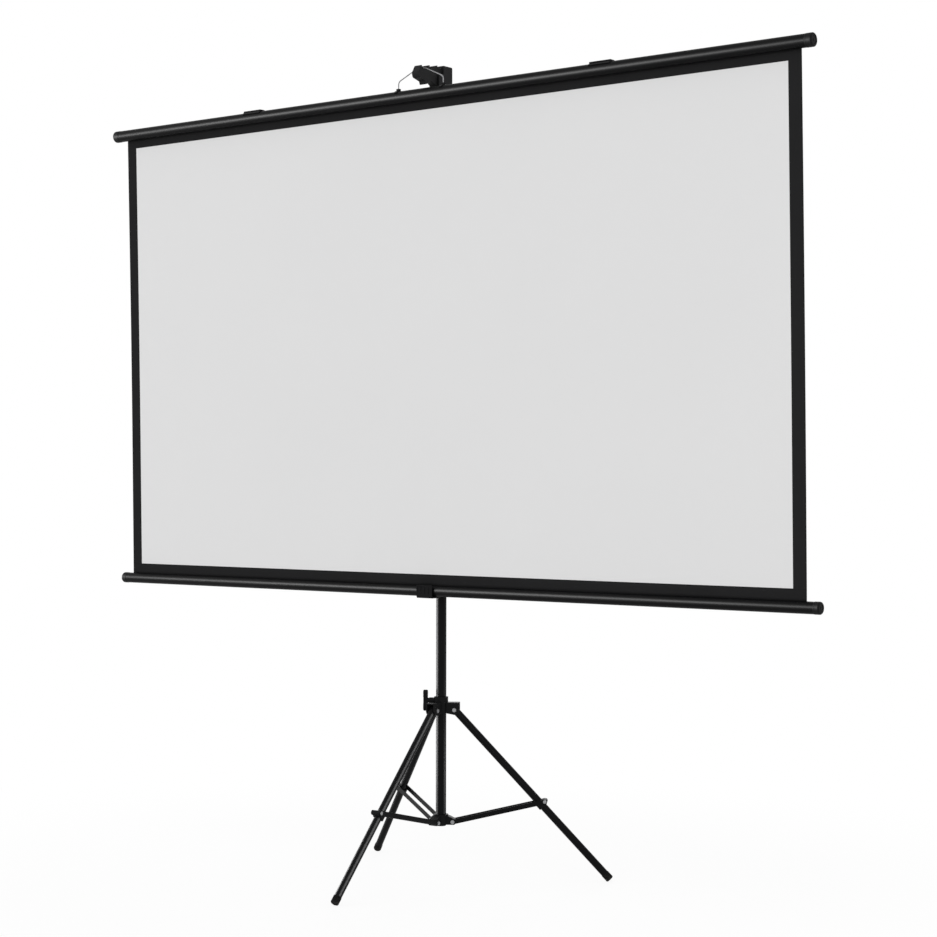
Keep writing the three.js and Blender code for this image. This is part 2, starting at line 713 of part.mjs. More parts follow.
// Leg tube and its pieces lie along +X from the hub pivot
function legPieces(side) {
  const wallTube = zToX(tube(legRadius - legWall, legRadius, -legHead, legLength - footEnd));
  const leg = shaped([wallTube], [crossHole(boltRadius + boltGap, 2 * legRadius)]);

  const sleeveBore = legRadius + runningGap;
  const sleeveTop = -footEnd - footSleeve;
  const rounding = [0, 1, 2, 3, 4].map((step) => {
    const angle = (step / 4) * (Math.PI / 2);
    return [footRadius - footRound + footRound * Math.cos(angle), footRound * (Math.sin(angle) - 1)];
  });
  const rubber = zToX(turned([
    [0, runningGap - footEnd],
    [sleeveBore, runningGap - footEnd],
    [sleeveBore, sleeveTop],
    [footRadius - footEdge, sleeveTop],
    [footRadius, sleeveTop + footEdge],
    ...rounding,
    [0, 0],
  ]));
  const floorReach = 4 * footRadius;
  const floorFoot = -footHeight - floorReach;
  const floor = block(-floorReach, floorReach, -floorReach, floorReach, floorFoot, -footHeight);
  const foot = shaped([rubber], [floor.rotateY(legSpread - Math.PI / 2)]).translate(legLength, 0, 0);

  const bracketHalf = legRadius + bracketSide;
  const collar = roundedRectangle(-strutSeat, strutSeat, -bracketHalf, bracketHalf, bracketRound);
  const collarOptions = { depth: bracketLength, bevelEnabled: false, curveSegments: 4 };
  const collarBlock = zToX(new THREE.ExtrudeGeometry(collar, collarOptions).rotateZ(Math.PI / 2));
  collarBlock.translate(-bracketLength / 2, 0, 0);
  const legHole = zToX(rod(sleeveBore, -bracketLength, bracketLength, tubeSides));
  const earRound = strutWidth / 2;
  const ear = new THREE.Shape();
  ear.moveTo(-earRound, 0);
  ear.lineTo(earRound, 0);
  ear.lineTo(earRound, strutOffset);
  ear.absarc(0, strutOffset, earRound, 0, Math.PI, false);
  const earBlock = alongY(ear, -strutSeat, strutSeat);
  const bracket = shaped([collarBlock, earBlock], [legHole]).translate(strutStation, 0, 0);
  return [
    piece(`leg_${side}`, leg, 'blackSteel'),
    piece(`foot_${side}`, foot, 'rubber'),
    piece(`leg_bracket_${side}`, bracket, 'blackPlastic'),
  ];
}

// A strut bar lies along +X from its inner pivot, with its thickness along +Y, or -Y where way is -1
function strutBar(way) {
  const round = strutWidth / 2;
  const bar = new THREE.Shape();
  bar.absarc(0, 0, round, Math.PI / 2, 1.5 * Math.PI);
  bar.absarc(strutLength, 0, round, -Math.PI / 2, Math.PI / 2);
  const hole = (x, radius) => new THREE.Path().absarc(x, 0, radius, 0, 2 * Math.PI, true);
  bar.holes.push(hole(0, boltRadius + boltGap), hole(strutLength, rivetRadius + runningGap));
  const options = { depth: strutThickness, bevelEnabled: false, curveSegments: arcSteps };
  const geometry = new THREE.ExtrudeGeometry(bar, options).rotateX(Math.PI / 2);
  return geometry.translate(0, way > 0 ? strutThickness : 0, 0);
}

function strutRivet(way) {
  const head = strutThickness + runningGap;
  const profile = [
    [0, 0],
    [rivetRadius, 0],
    [rivetRadius, head],
    [rivetHeadRadius, head],
    [0.92 * rivetHeadRadius, head + 0.5 * rivetHeadHeight],
    [0.6 * rivetHeadRadius, head + 0.9 * rivetHeadHeight],
    [0, head + rivetHeadHeight],
  ];
  const geometry = turned(profile, rodSides).rotateX(way > 0 ? -Math.PI / 2 : Math.PI / 2);
  return geometry.translate(strutLength, 0, 0);
}

function addLegs() {
  for (const [side, degrees] of Object.entries(legDirections)) {
    const sector = new THREE.Group();
    sector.rotation.z = THREE.MathUtils.degToRad(degrees);
    tripod.add(sector);

    const legLine = new THREE.Group();
    legLine.position.set(hubPivotRadius, 0, hubPivotHeight);
    legLine.rotation.y = Math.PI / 2 - legSpread;
    legLine.add(...legPieces(side));
    sector.add(legLine);

    const legBolt = crossBolt(boltRadius, boltHeadRadius, boltHeadHeight, cheekOuter + runningGap);
    legBolt.translate(hubPivotRadius, 0, hubPivotHeight);
    const strutBolt = crossBolt(boltRadius, boltHeadRadius, boltHeadHeight, strutOuter + runningGap);
    strutBolt.translate(collarPivotRadius, 0, collarPivotHeight);
    sector.add(
      piece(`leg_pivot_bolt_${side}`, legBolt, 'brightSteel'),
      piece(`strut_pivot_bolt_${side}`, strutBolt, 'brightSteel'),
    );

    [1, -1].forEach((way, index) => {
      const strutLine = new THREE.Group();
      strutLine.position.set(collarPivotRadius, way * strutInner, collarPivotHeight);
      strutLine.rotation.y = -strutElevation;
      strutLine.add(
        piece(`strut_${side}_${index + 1}`, strutBar(way), 'blackSteel'),
        piece(`strut_rivet_${side}_${index + 1}`, strutRivet(way), 'brightSteel'),
      );
      sector.add(strutLine);
    });
  }
}

// Casing with its roller, spring and end caps, drawn round the casing axis
const screen = new THREE.Group();
screen.position.set(0, -casingForward, casingHeight);
const hanging = new THREE.Group();
hanging.rotation.x = tilt;
screen.add(hanging);

function addCasing() {
  const slotDepth = Math.sqrt((casingRadius - casingWall / 2) ** 2 - fabricOffset ** 2);
  const slotAngle = Math.atan2(-slotDepth, fabricOffset);
  const cap = (axleRadius) => endCap(casingRadius, casingWall, casingCapLength, capSpigot, axleRadius);
  const leftCap = piece('casing_cap_left', zToX(cap(spindleRadius)).rotateZ(Math.PI), 'blackPlastic');
  leftCap.position.x = -casingHalf;
  const rightCap = piece('casing_cap_right', zToX(cap(spindleRadius)), 'blackPlastic');
  rightCap.position.x = casingHalf;

  const rollerBore = rollerRadius - rollerWall;
  const roller = zToX(tube(rollerBore, rollerRadius, -rollerHalf, rollerHalf));
  const plugRadius = rollerBore - runningGap;
  const plugEnd = rollerHalf + plugFlange;
  const axleEnd = casingHalf - capSpigot + axleSocket - runningGap;
  const spindleBore = spindleRadius + runningGap;
  const leftPlug = zToX(turned([
    [spindleBore, rollerHalf - plugDepth],
    [plugRadius, rollerHalf - plugDepth],
    [plugRadius, rollerHalf + runningGap],
    [rollerRadius, rollerHalf + runningGap],
    [rollerRadius, plugEnd],
    [spindleBore, plugEnd],
    [spindleBore, rollerHalf - plugDepth],
  ])).rotateZ(Math.PI);
  const rightPlug = zToX(turned([
    [0, rollerHalf - plugDepth],
    [plugRadius, rollerHalf - plugDepth],
    [plugRadius, rollerHalf + runningGap],
    [rollerRadius, rollerHalf + runningGap],
    [rollerRadius, plugEnd],
    [spindleRadius, plugEnd],
    [spindleRadius, axleEnd],
    [0, axleEnd],
  ]));
  const spindle = zToX(rod(spindleRadius, -axleEnd, spindleLength - axleEnd));

  const springRadius = spindleRadius + boltGap + springWire;
  const springStart = -rollerHalf + plugDepth + 2 * springPitch;
  const curve = new SpringCurve(springStart, springRadius, springPitch, springCurls);
  const spring = roundWire(curve, springWire, springSides, springStepsPerCurl * springCurls);
  console.log(`least gap between spring curls: ${leastCurlGap(curve).toFixed(2)} mm`);

  hanging.add(
    piece('casing_tube', slottedTube(casingRadius, casingWall, casingHalf, slotAngle), 'blackSteel'),
    leftCap,
    rightCap,
    piece('roller_tube', roller, 'plainSteel'),
    piece('roller_plug_left', leftPlug, 'blackPlastic'),
    piece('roller_plug_right', rightPlug, 'blackPlastic'),
    piece('spring_spindle', spindle, 'plainSteel'),
    piece('roller_spring', spring, 'plainSteel'),
  );
}

// The least gap between points of the wire that lie half a curl or more apart
function leastCurlGap(curve) {
  const stepsPerCurl = 16;
  const points = curve.getPoints(stepsPerCurl * springCurls);
  let least = Infinity;
  points.forEach((point, index) => {
    for (const other of points.slice(index + stepsPerCurl / 2)) {
      least = Math.min(least, point.distanceTo(other));
    }
  });
  return least - 2 * springWire;
}

// Fabric, weight bar and the rod sewn in the hem
function addDrop() {
  const rodRise = Math.sqrt((hemRodRadius + boltGap) ** 2 - (fabricSlot / 2) ** 2);
  const slotEdge = Math.sqrt((barRadius - barWall) ** 2 - (fabricSlot / 2) ** 2);
  const rodHeight = slotEdge - rodRise;
  const fabricFoot = rodHeight + hemRodRadius + runningGap - drop;
  const side = fabricWidth / 2;
  const half = fabricThickness / 2;
  const fabric = block(-side, side, fabricOffset - half, fabricOffset + half, fabricFoot, 0);

  const bar = new THREE.Group();
  bar.position.set(0, fabricOffset, -drop);
  const cap = () => endCap(barRadius, barWall, barCapLength, capSpigot, 0);
  const leftCap = piece('bar_cap_left', zToX(cap()).rotateZ(Math.PI), 'blackPlastic');
  leftCap.position.x = -barHalf;
  const rightCap = piece('bar_cap_right', zToX(cap()), 'blackPlastic');
  rightCap.position.x = barHalf;
  const hemRod = zToX(rod(hemRodRadius, -fabricWidth / 2, fabricWidth / 2)).translate(0, 0, rodHeight);
  bar.add(
    piece('bar_tube', slottedTube(barRadius, barWall, barHalf, Math.PI / 2), 'blackSteel'),
    leftCap,
    rightCap,
    piece('hem_rod', hemRod, 'plainSteel'),
  );
  hanging.add(piece('screen_fabric', fabric, 'screenCloth'), bar);
}

// Wall clips, and the wire bail in its two lugs
function addCasingFittings() {
  for (const [side, way] of [['left', -1], ['right', 1]]) {
    const clip = piece(`wall_clip_${side}`, saddle(clipPadWidth, clipRise, clipLength), 'blackSteel');
    clip.position.x = clipShift + (way * clipSpacing) / 2;
    const wireEnd = casingRadius + saddleThickness + runningGap;
    const wireHole = rod(bailWire + runningGap, wireEnd, casingRadius + lugRise + 1);
    const lugSolid = shaped([saddle(lugPadWidth, lugRise, lugLength)], [wireHole]);
    const lug = piece(`bail_lug_${side}`, lugSolid, 'blackSteel');
    lug.position.x = (way * lugSpacing) / 2;
    screen.add(clip, lug);
  }
  const legX = lugSpacing / 2;
  const legFoot = casingRadius + saddleThickness + 2 * runningGap;
  const crest = armHalfWidth + bailCrest;
  const at = (x, z) => new THREE.Vector3(x, 0, z);
  const slope = at(crest - legX, bailHeight - bailShoulder).normalize().multiplyScalar(bailBend);
  const bend = (way) => at(way * legX, bailShoulder);
  const bendStart = (way) => at(way * legX, bailShoulder - bailBend);
  const bendEnd = (way) => at(way * (legX + slope.x), bailShoulder + slope.z);
  const top = (way) => at(way * crest, bailHeight);
  const topStart = (way) => at(way * (crest - slope.x), bailHeight - slope.z);
  const topEnd = (way) => at(way * (crest - bailBend), bailHeight);
  const wire = new THREE.CurvePath();
  const bends = [
    new THREE.LineCurve3(at(-legX, legFoot), bendStart(-1)),
    new THREE.QuadraticBezierCurve3(bendStart(-1), bend(-1), bendEnd(-1)),
    new THREE.LineCurve3(bendEnd(-1), topStart(-1)),
    new THREE.QuadraticBezierCurve3(topStart(-1), top(-1), topEnd(-1)),
    new THREE.LineCurve3(topEnd(-1), topEnd(1)),
    new THREE.QuadraticBezierCurve3(topEnd(1), top(1), topStart(1)),
    new THREE.LineCurve3(topStart(1), bendEnd(1)),
    new THREE.QuadraticBezierCurve3(bendEnd(1), bend(1), bendStart(1)),
    new THREE.LineCurve3(bendStart(1), at(legX, legFoot)),
  ];
  wire.curves.push(...bends);
  screen.add(piece('hanger_bail', roundWire(wire, bailWire, bailSides, bailSteps), 'brightSteel'));
}

addColumnAndMast();
addMastClamp();
addHead();
addBarHook();
addHub();
addLowerCollar();
addLegs();
addCasing();
addDrop();
addCasingFittings();

const tripodScreen = new THREE.Group();
tripodScreen.add(stand, tripod, screen);
const footprint = new THREE.Box3().setFromObject(tripodScreen, true);
tripodScreen.position.y = -(footprint.min.y + footprint.max.y) / 2;

export default tripodScreen;
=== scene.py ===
# Tripod projection screen: the finished look of every piece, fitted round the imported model, in metres.
import json
from math import asin, atan2, cos, pi, radians, sin, sqrt

import bmesh
import bpy
from mathutils import Euler, Matrix, Vector

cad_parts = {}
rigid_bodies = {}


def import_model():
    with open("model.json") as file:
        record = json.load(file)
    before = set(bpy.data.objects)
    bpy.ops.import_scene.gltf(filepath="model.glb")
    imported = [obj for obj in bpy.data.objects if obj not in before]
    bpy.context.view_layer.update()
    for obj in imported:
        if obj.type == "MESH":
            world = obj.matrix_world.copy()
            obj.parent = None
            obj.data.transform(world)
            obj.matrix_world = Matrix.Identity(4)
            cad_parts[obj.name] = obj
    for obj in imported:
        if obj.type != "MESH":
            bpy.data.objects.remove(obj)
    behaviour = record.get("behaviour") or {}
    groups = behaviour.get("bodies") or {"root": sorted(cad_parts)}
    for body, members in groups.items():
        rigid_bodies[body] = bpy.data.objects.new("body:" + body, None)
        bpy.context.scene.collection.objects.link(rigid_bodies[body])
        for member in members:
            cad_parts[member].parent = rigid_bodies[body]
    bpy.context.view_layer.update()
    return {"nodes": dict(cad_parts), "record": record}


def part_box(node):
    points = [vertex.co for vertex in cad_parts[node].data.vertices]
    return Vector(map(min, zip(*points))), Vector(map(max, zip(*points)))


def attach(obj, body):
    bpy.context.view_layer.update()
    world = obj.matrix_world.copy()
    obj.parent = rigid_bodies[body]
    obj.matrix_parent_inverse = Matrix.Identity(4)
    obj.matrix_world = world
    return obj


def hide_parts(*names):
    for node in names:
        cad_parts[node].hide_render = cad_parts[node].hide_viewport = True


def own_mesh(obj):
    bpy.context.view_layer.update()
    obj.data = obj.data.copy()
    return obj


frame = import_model()
joints = {joint["name"]: joint for joint in frame["record"]["behaviour"]["joints"]}


# Camera
# The photograph is taken from the front right, at a little over a metre, with a long lens held level.
# The place was worked out from the corners of the 16:9 view area, from the foot of the pole.
def box(node):
    low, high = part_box(node)
    return Vector(low), Vector(high)


column_low, column_high = box("column")
pole_foot = Vector(((column_low.x + column_high.x) / 2, (column_low.y + column_high.y) / 2, 0))
camera_from_pole = Vector((3.5626, -4.4727, 1.0894))
camera_yaw = radians(37.807)
camera_pitch = radians(0.184)
camera_roll = radians(0.095)
camera_data = bpy.data.cameras.new("camera")
camera_data.sensor_width = 36
camera_data.lens = 81.16
camera = bpy.data.objects.new("camera", camera_data)
camera.location = pole_foot + camera_from_pole
level = Euler((pi / 2 + camera_pitch, 0, camera_yaw)).to_matrix()
camera.rotation_euler = (level @ Matrix.Rotation(camera_roll, 3, "Z")).to_euler()
bpy.context.scene.collection.objects.link(camera)
bpy.context.scene.camera = camera
bpy.context.scene.view_settings.view_transform = "Standard"


# Floor and light
# A white studio: the floor runs out into a white background and keeps a soft shadow round the feet.
# Soft boxes light the screen evenly, and the pole from behind. Four panels, each seen only in the
# gloss of its own pieces, draw the bright lines along the tubes, the pole, its foot and the legs.
class Field:
    """One output of a node. Sums on it add Math nodes to the same tree."""

    def __init__(self, tree, socket=None):
        self.tree = tree
        self.socket = socket

    def node(self, kind, settings, inputs, output=0):
        made = self.tree.nodes.new("ShaderNode" + kind)
        for key, value in settings.items():
            setattr(made, key, value)
        for key, value in inputs.items():
            if isinstance(value, Field):
                self.tree.links.new(value.socket, made.inputs[key])
            else:
                made.inputs[key].default_value = value
        return Field(self.tree, made.outputs[output])

    def maths(self, operation, first, second=0.0):
        return self.node("Math", {"operation": operation}, {0: first, 1: second})

    def into(self, shader, socket):
        self.tree.links.new(self.socket, shader.inputs[socket])

    def __add__(self, other):
        return self.maths("ADD", self, other)

    def __sub__(self, other):
        return self.maths("SUBTRACT", self, other)

    def __rsub__(self, other):
        return self.maths("SUBTRACT", other, self)

    def __mul__(self, other):
        return self.maths("MULTIPLY", self, other)

    __radd__ = __add__
    __rmul__ = __mul__

    def ramp(self, low, high):
        """0 below low and 1 above high, with a smooth step between."""
        settings = {"interpolation_type": "SMOOTHSTEP"}
        return self.node("MapRange", settings, {"Value": self, "From Min": low, "From Max": high})

    def mix(self, first, second):
        """The colour first where this field is 0 and second where it is 1."""
        return self.node("Mix", {"data_type": "RGBA"}, {0: self, 6: first, 7: second}, 2)


def background_rays(start):
    """1 for the rays that show the background itself: those of the camera, of gloss and of glass."""
    camera_ray, gloss_ray, glass_ray = (
        start.node("LightPath", {}, {}, name)
        for name in ("Is Camera Ray", "Is Glossy Ray", "Is Transmission Ray")
    )
    return start.maths("MAXIMUM", start.maths("MAXIMUM", camera_ray, gloss_ray), glass_ray)


floor_size = 30.0
floor_gap = 0.0004
floor_colour = (0.82, 0.82, 0.82, 1)
white = (1, 1, 1, 1)
shadow_fade = (0.8, 2.2)
shadow_depth = 0.10
ambient_light = 0.87

floor_shape = bmesh.new()
bmesh.ops.create_grid(floor_shape, x_segments=1, y_segments=1, size=floor_size)
floor_mesh = bpy.data.meshes.new("floor")
floor_shape.to_mesh(floor_mesh)
floor_shape.free()
floor = bpy.data.objects.new("floor", floor_mesh)
floor.location.z = -floor_gap
bpy.context.scene.collection.objects.link(floor)
floor_material = bpy.data.materials.new("white_floor")
floor_material.use_nodes = True
floor_start = Field(floor_material.node_tree)
floor_material.node_tree.nodes.remove(floor_material.node_tree.nodes["Principled BSDF"])
floor_place = floor_start.node("TexCoord", {}, {}, "Object")
spread = floor_start.node("VectorMath", {"operation": "LENGTH"}, {0: floor_place}, "Value")
plain_white = 1 - shadow_depth * (1 - spread.ramp(*shadow_fade))
floor_light = floor_start.node("Emission", {}, {"Color": white, "Strength": 1.0})
floor_shade = floor_start.node("BsdfDiffuse", {}, {"Color": floor_colour})
floor_factor = background_rays(floor_start) * plain_white
floor_mixed = floor_start.node("MixShader", {}, {0: floor_factor, 1: floor_shade, 2: floor_light})
floor_mixed.into(floor_material.node_tree.nodes["Material Output"], "Surface")
floor_mesh.materials.append(floor_material)

world = bpy.data.worlds.new("studio")
world.use_nodes = True
world_start = Field(world.node_tree)
world_strength = ambient_light + (1 - ambient_light) * background_rays(world_start)
world.node_tree.nodes["Background"].inputs["Color"].default_value = white
world_strength.into(world.node_tree.nodes["Background"], "Strength")
bpy.context.scene.world = world


def soft_box(name, place, towards, size, watts):
    """A rectangle of light that the camera itself doesn't see."""
    light = bpy.data.lights.new(name, "AREA")
    light.shape = "RECTANGLE"
    light.size, light.size_y = size
    light.energy = watts
    lamp = bpy.data.objects.new(name, light)
    lamp.location = place
    lamp.rotation_euler = (Vector(towards) - Vector(place)).to_track_quat("-Z", "Y").to_euler()
    lamp.visible_camera = False
    bpy.context.scene.collection.objects.link(lamp)
    return lamp


def gloss_panel(name, place, towards, size, watts):
    """A soft box that shows only in the gloss of the pieces put into the collection it returns."""
    lamp = soft_box(name, place, towards, size, watts)
    lamp.visible_diffuse = False
    lamp.light_linking.receiver_collection = bpy.data.collections.new(f"{name}_pieces")
    return lamp.light_linking.receiver_collection.objects


screen_middle = (0, 0, 1.4)
back_middle = (0, 0.1, 1.2)
pole_middle = (0, 0.1, 0.40)
pole_low = (0, 0.1, 0.20)
leg_middle = (0, -0.1, 0.2)
tube_panel_place = (-3.56, -4.4, 2.05)
tube_panel_front = (-3.56, 0, 2.05)

soft_box("left_key", (-4.4, -5.2, 3.0), screen_middle, size=(1.3, 1.3), watts=60)
soft_box("right_key", (5.2, -4.6, 3.0), screen_middle, size=(1.3, 1.3), watts=60)
soft_box("back_key", (-2.6, 5.0, 2.8), back_middle, size=(1.6, 1.6), watts=90)
tube_gloss = gloss_panel("tube_panel", tube_panel_place, tube_panel_front, size=(4.8, 1.5), watts=2100)
pole_gloss = gloss_panel("pole_panel", (-1.3, -0.5, 0.40), pole_middle, size=(1.3, 0.8), watts=95)
leg_gloss = gloss_panel("leg_panel", (2.6, 0.35, 1.45), leg_middle, size=(2.2, 2.2), watts=420)
foot_gloss = gloss_panel("foot_panel", (1.2, 0.9, 0.06), pole_low, size=(0.8, 0.12), watts=13)


# Column
# The lower pole: a drawn steel tube with a powder coat, standing in the lower collar.
# The hub slides on it and polishes faint streaks along it. A moulded plug closes its foot.
weld_distance = 1e-6
crease_angle = radians(38)


def turned(profile, steps):
    """Spin a profile of (radius, height) round Z. One that starts off the axis closes on itself."""
    shape = bmesh.new()
    points = [shape.verts.new((radius, 0, height)) for radius, height in profile]
    edges = [shape.edges.new(pair) for pair in zip(points, points[1:])]
    if profile[0][0] > 0:
        edges.append(shape.edges.new((points[-1], points[0])))
    bmesh.ops.spin(
        shape, geom=points + edges, cent=(0, 0, 0), axis=(0, 0, 1), dvec=(0, 0, 0),
        angle=2 * pi, steps=steps, use_merge=True, use_duplicate=False,
    )
    bmesh.ops.remove_doubles(shape, verts=shape.verts, dist=weld_distance)
    bmesh.ops.recalc_face_normals(shape, faces=shape.faces)
    return shape


def round_off(shape, edges, width, segments):
    """Bevel those edges to a round of that width."""
    bmesh.ops.bevel(
        shape, geom=edges, offset=width, offset_type="OFFSET", segments=segments,
        profile=0.5, affect="EDGES", clamp_overlap=True, material=-1,
    )


def soften(shape, width, segments=2, least_angle=32):
    """Round every edge that turns by more than least_angle, in degrees."""
    sharp = [
        edge for edge in shape.edges
        if len(edge.link_faces) == 2 and edge.calc_face_angle() > radians(least_angle)
    ]
    round_off(shape, sharp, width, segments)
    return shape


def piece(name, shape, material, body, nodes=()):
    """Make the bmesh an object that rides on a body, in place of the CAD nodes."""
    mesh = bpy.data.meshes.new(name)
    shape.to_mesh(mesh)
    shape.free()
    mesh.materials.append(material)
    mesh.shade_smooth()
    mesh.set_sharp_from_angle(angle=crease_angle)
    made = bpy.data.objects.new(name, mesh)
    bpy.context.scene.collection.objects.link(made)
    shading = made.modifiers.new("flat_faces", "WEIGHTED_NORMAL")
    shading.keep_sharp = True
    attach(made, body)
    if nodes:
        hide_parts(*nodes)
    return made


def new_material(name):
    """A material with its start of a node tree and its shader."""
    material = bpy.data.materials.new(name)
    material.use_nodes = True
    return material, Field(material.node_tree), material.node_tree.nodes["Principled BSDF"]


def noise(start, scale, stretch=(1, 1, 1), detail=3.0):
    """Noise on Object coordinates, from 0 to 1; a small stretch draws it out along that axis."""
    place = start.node("TexCoord", {}, {}, "Object")
    drawn = start.node("Mapping", {}, {"Vector": place, "Scale": stretch})
    return start.node("TexNoise", {}, {"Vector": drawn, "Scale": scale, "Detail": detail})


def bump(height, strength, distance):
    return height.node("Bump", {}, {"Height": height, "Strength": strength, "Distance": distance})


def powder_coat():
    """Satin black powder coat on steel tube: orange-peel grain, with faint drawn streaks of polish."""
    material, start, shader = new_material("black_powder_coat")
    dark = (0.0025, 0.0025, 0.0028, 1)
    pale = (0.006, 0.006, 0.0066, 1)
    patches = noise(start, 9.0)
    streaks = noise(start, 420.0, stretch=(1, 1, 0.015))
    grain = noise(start, 1300.0, detail=2.0)
    (patches * 0.7 + streaks * 0.3).mix(dark, pale).into(shader, "Base Color")
    (0.24 + patches * 0.07 + streaks * 0.09).into(shader, "Roughness")
    bump(grain * 0.7 + streaks * 0.3, strength=0.25, distance=0.00012).into(shader, "Normal")
    shader.inputs["Specular IOR Level"].default_value = 0.05
    return material


black_steel = powder_coat()
tube_edge = 0.0004
pole_facets = 72
column_wall = 0.0012
column_radius = (column_high.x - column_low.x) / 2


def steel_part(name, node, shape, body):
    """A powder-coated steel piece in place of its node."""
    return piece(name, shape, black_steel, body, [node])


def upright_tube(name, node, radius, wall, body):
    """A steel tube on the pole axis that spans the node's height."""
    low, high = box(node)
    bore = radius - wall
    shape = turned([(bore, low.z), (radius, low.z), (radius, high.z), (bore, high.z)], pole_facets)
    soften(shape, tube_edge)
    bmesh.ops.translate(shape, verts=shape.verts, vec=pole_foot)
    return steel_part(name, node, shape, body)


column_tube = upright_tube("column_tube", "column", column_radius, column_wall, "stand")
pole_gloss.link(column_tube)
foot_gloss.link(column_tube)


# Lower collar
# A moulded nylon collar fixed at the foot of the column, with three lobes for the strut pivots.
# Its faces carry a fine spark-eroded grain, and every edge has the small radius of the mould.
node_weld_distance = 4e-6
flat_angle = radians(1.5)


def moulded(node, round_edge, segments=2):
    """The node's own form, with its flat faces made whole and its edges rounded."""
    shape = bmesh.new()
    shape.from_mesh(frame["nodes"][node].data)
    bmesh.ops.remove_doubles(shape, verts=shape.verts, dist=node_weld_distance)
    bmesh.ops.dissolve_limit(shape, angle_limit=flat_angle, verts=shape.verts, edges=shape.edges)
    return soften(shape, round_edge, segments)


def moulded_plastic(name, dark, pale):
    """Moulded nylon: fine grain, a little flow variation, and paler rubbed patches."""
    material, start, shader = new_material(name)
    grain = noise(start, 2600.0, detail=2.0)
    flow = noise(start, 26.0)
    rubbed = noise(start, 70.0).ramp(0.60, 0.78)
    (flow * 0.6 + rubbed * 0.4).mix(dark, pale).into(shader, "Base Color")
    (0.46 + flow * 0.14 - rubbed * 0.08).into(shader, "Roughness")
    bump(grain, strength=0.35, distance=0.0001).into(shader, "Normal")
    shader.inputs["Specular IOR Level"].default_value = 0.08
    return material


black_plastic = moulded_plastic("black_nylon", (0.003, 0.003, 0.0033, 1), (0.009, 0.009, 0.0096, 1))
collar_edge = 0.0007
foot_plug_edge = 0.0004


def nylon_part(name, node, shape, body, plastic=black_plastic):
    """A moulded nylon piece in place of its node."""
    return piece(name, shape, plastic, body, [node])


nylon_part("lower_collar_moulding", "lower_collar", moulded("lower_collar", collar_edge), "stand")
foot_plug = moulded("column_foot_plug", foot_plug_edge)
nylon_part("column_foot_plug_moulding", "column_foot_plug", foot_plug, "stand")


# Legs
# Three steel tubes that hang from the hub and spread to the floor, each with a moulded bracket
# for its struts and a push-on rubber foot, ribbed round its sleeve and worn flat underneath.
def aim(origin, along, across):
    """The matrix that stands a shape made along Z at origin, its Z along one way and its X across."""
    up = along.normalized()
    side = (across - up * across.dot(up)).normalized()
    turn = Matrix((side, up.cross(side), up)).transposed()
    return Matrix.Translation(origin) @ turn.to_4x4()


def soft_rubber():
    """Matt black rubber: dull, finely pitted, and greyed with floor dust towards the tip."""
    material, start, shader = new_material("black_rubber")
    black = (0.005, 0.005, 0.005, 1)
    dusty = (0.05, 0.048, 0.045, 1)
    dust_line = (0.002, 0.022)
    height = start.node("SeparateXYZ", {}, {0: start.node("TexCoord", {}, {}, "Object")}, 2)
    dust = (1 - height.ramp(*dust_line)) * noise(start, 180.0).ramp(0.35, 0.7)
    pits = noise(start, 1500.0)
    (dust * 0.6 + pits * 0.1).mix(black, dusty).into(shader, "Base Color")
    (0.72 + dust * 0.16).into(shader, "Roughness")
    bump(pits, strength=0.4, distance=0.00015).into(shader, "Normal")
    shader.inputs["Specular IOR Level"].default_value = 0.06
    return material


sides = ("front", "right", "left")
up_way = Vector((0, 0, 1))
rubber = soft_rubber()
leg_facets = 48
leg_radius = 0.010
leg_wall = 0.0013
leg_bore = leg_radius - leg_wall
leg_head = 0.008
leg_length = 0.616
leg_spread = radians(43)
strut_station = 0.345
strut_offset = 0.013
bracket_edge = 0.0008

plug_depth = 0.010
plug_inset = 0.0001
plug_radius = leg_radius - plug_inset
plug_rise = 0.0018
plug_round = 0.0009

foot_radius = 0.011
foot_sleeve = 0.016
foot_end = 0.005
foot_round = 0.0035
rib_count = 3
rib_pitch = 0.0048
rib_depth = 0.0006
rib_edge = 0.0004
first_rib = 0.0008
rib_top = 0.62 * rib_pitch
groove_start = 0.70 * rib_pitch
groove_end = 0.96 * rib_pitch
foot_barrel = 0.0014


def leg_line(side):
    """The leg's pivot, the way it runs to its foot, the way its upper side faces, and its pivot axis."""
    pivot = Vector(joints[f"leg_{side}_swing"]["pos_m"])
    axis = Vector(joints[f"leg_{side}_swing"]["axis"])
    outward = axis.cross(up_way)
    along = outward * sin(leg_spread) - up_way * cos(leg_spread)
    return pivot, along, outward * cos(leg_spread) + up_way * sin(leg_spread), axis


def quarter_round(radius, height, rounding, steps=8):
    """Profile points of a rounded rim, from the side at radius to the end at height."""
    across = radius - rounding
    up = height - rounding
    angles = [step / steps * pi / 2 for step in range(steps + 1)]
    return [(across + rounding * cos(angle), up + rounding * sin(angle)) for angle in angles]


def plug_profile():
    """The plug in the head of a leg: its shank from below, and its rounded flange above 0."""
    shank = [(0, -plug_depth), (leg_bore, -plug_depth), (leg_bore, 0), (plug_radius, 0)]
    return shank + quarter_round(plug_radius, plug_rise, plug_round, steps=4) + [(0, plug_rise)]


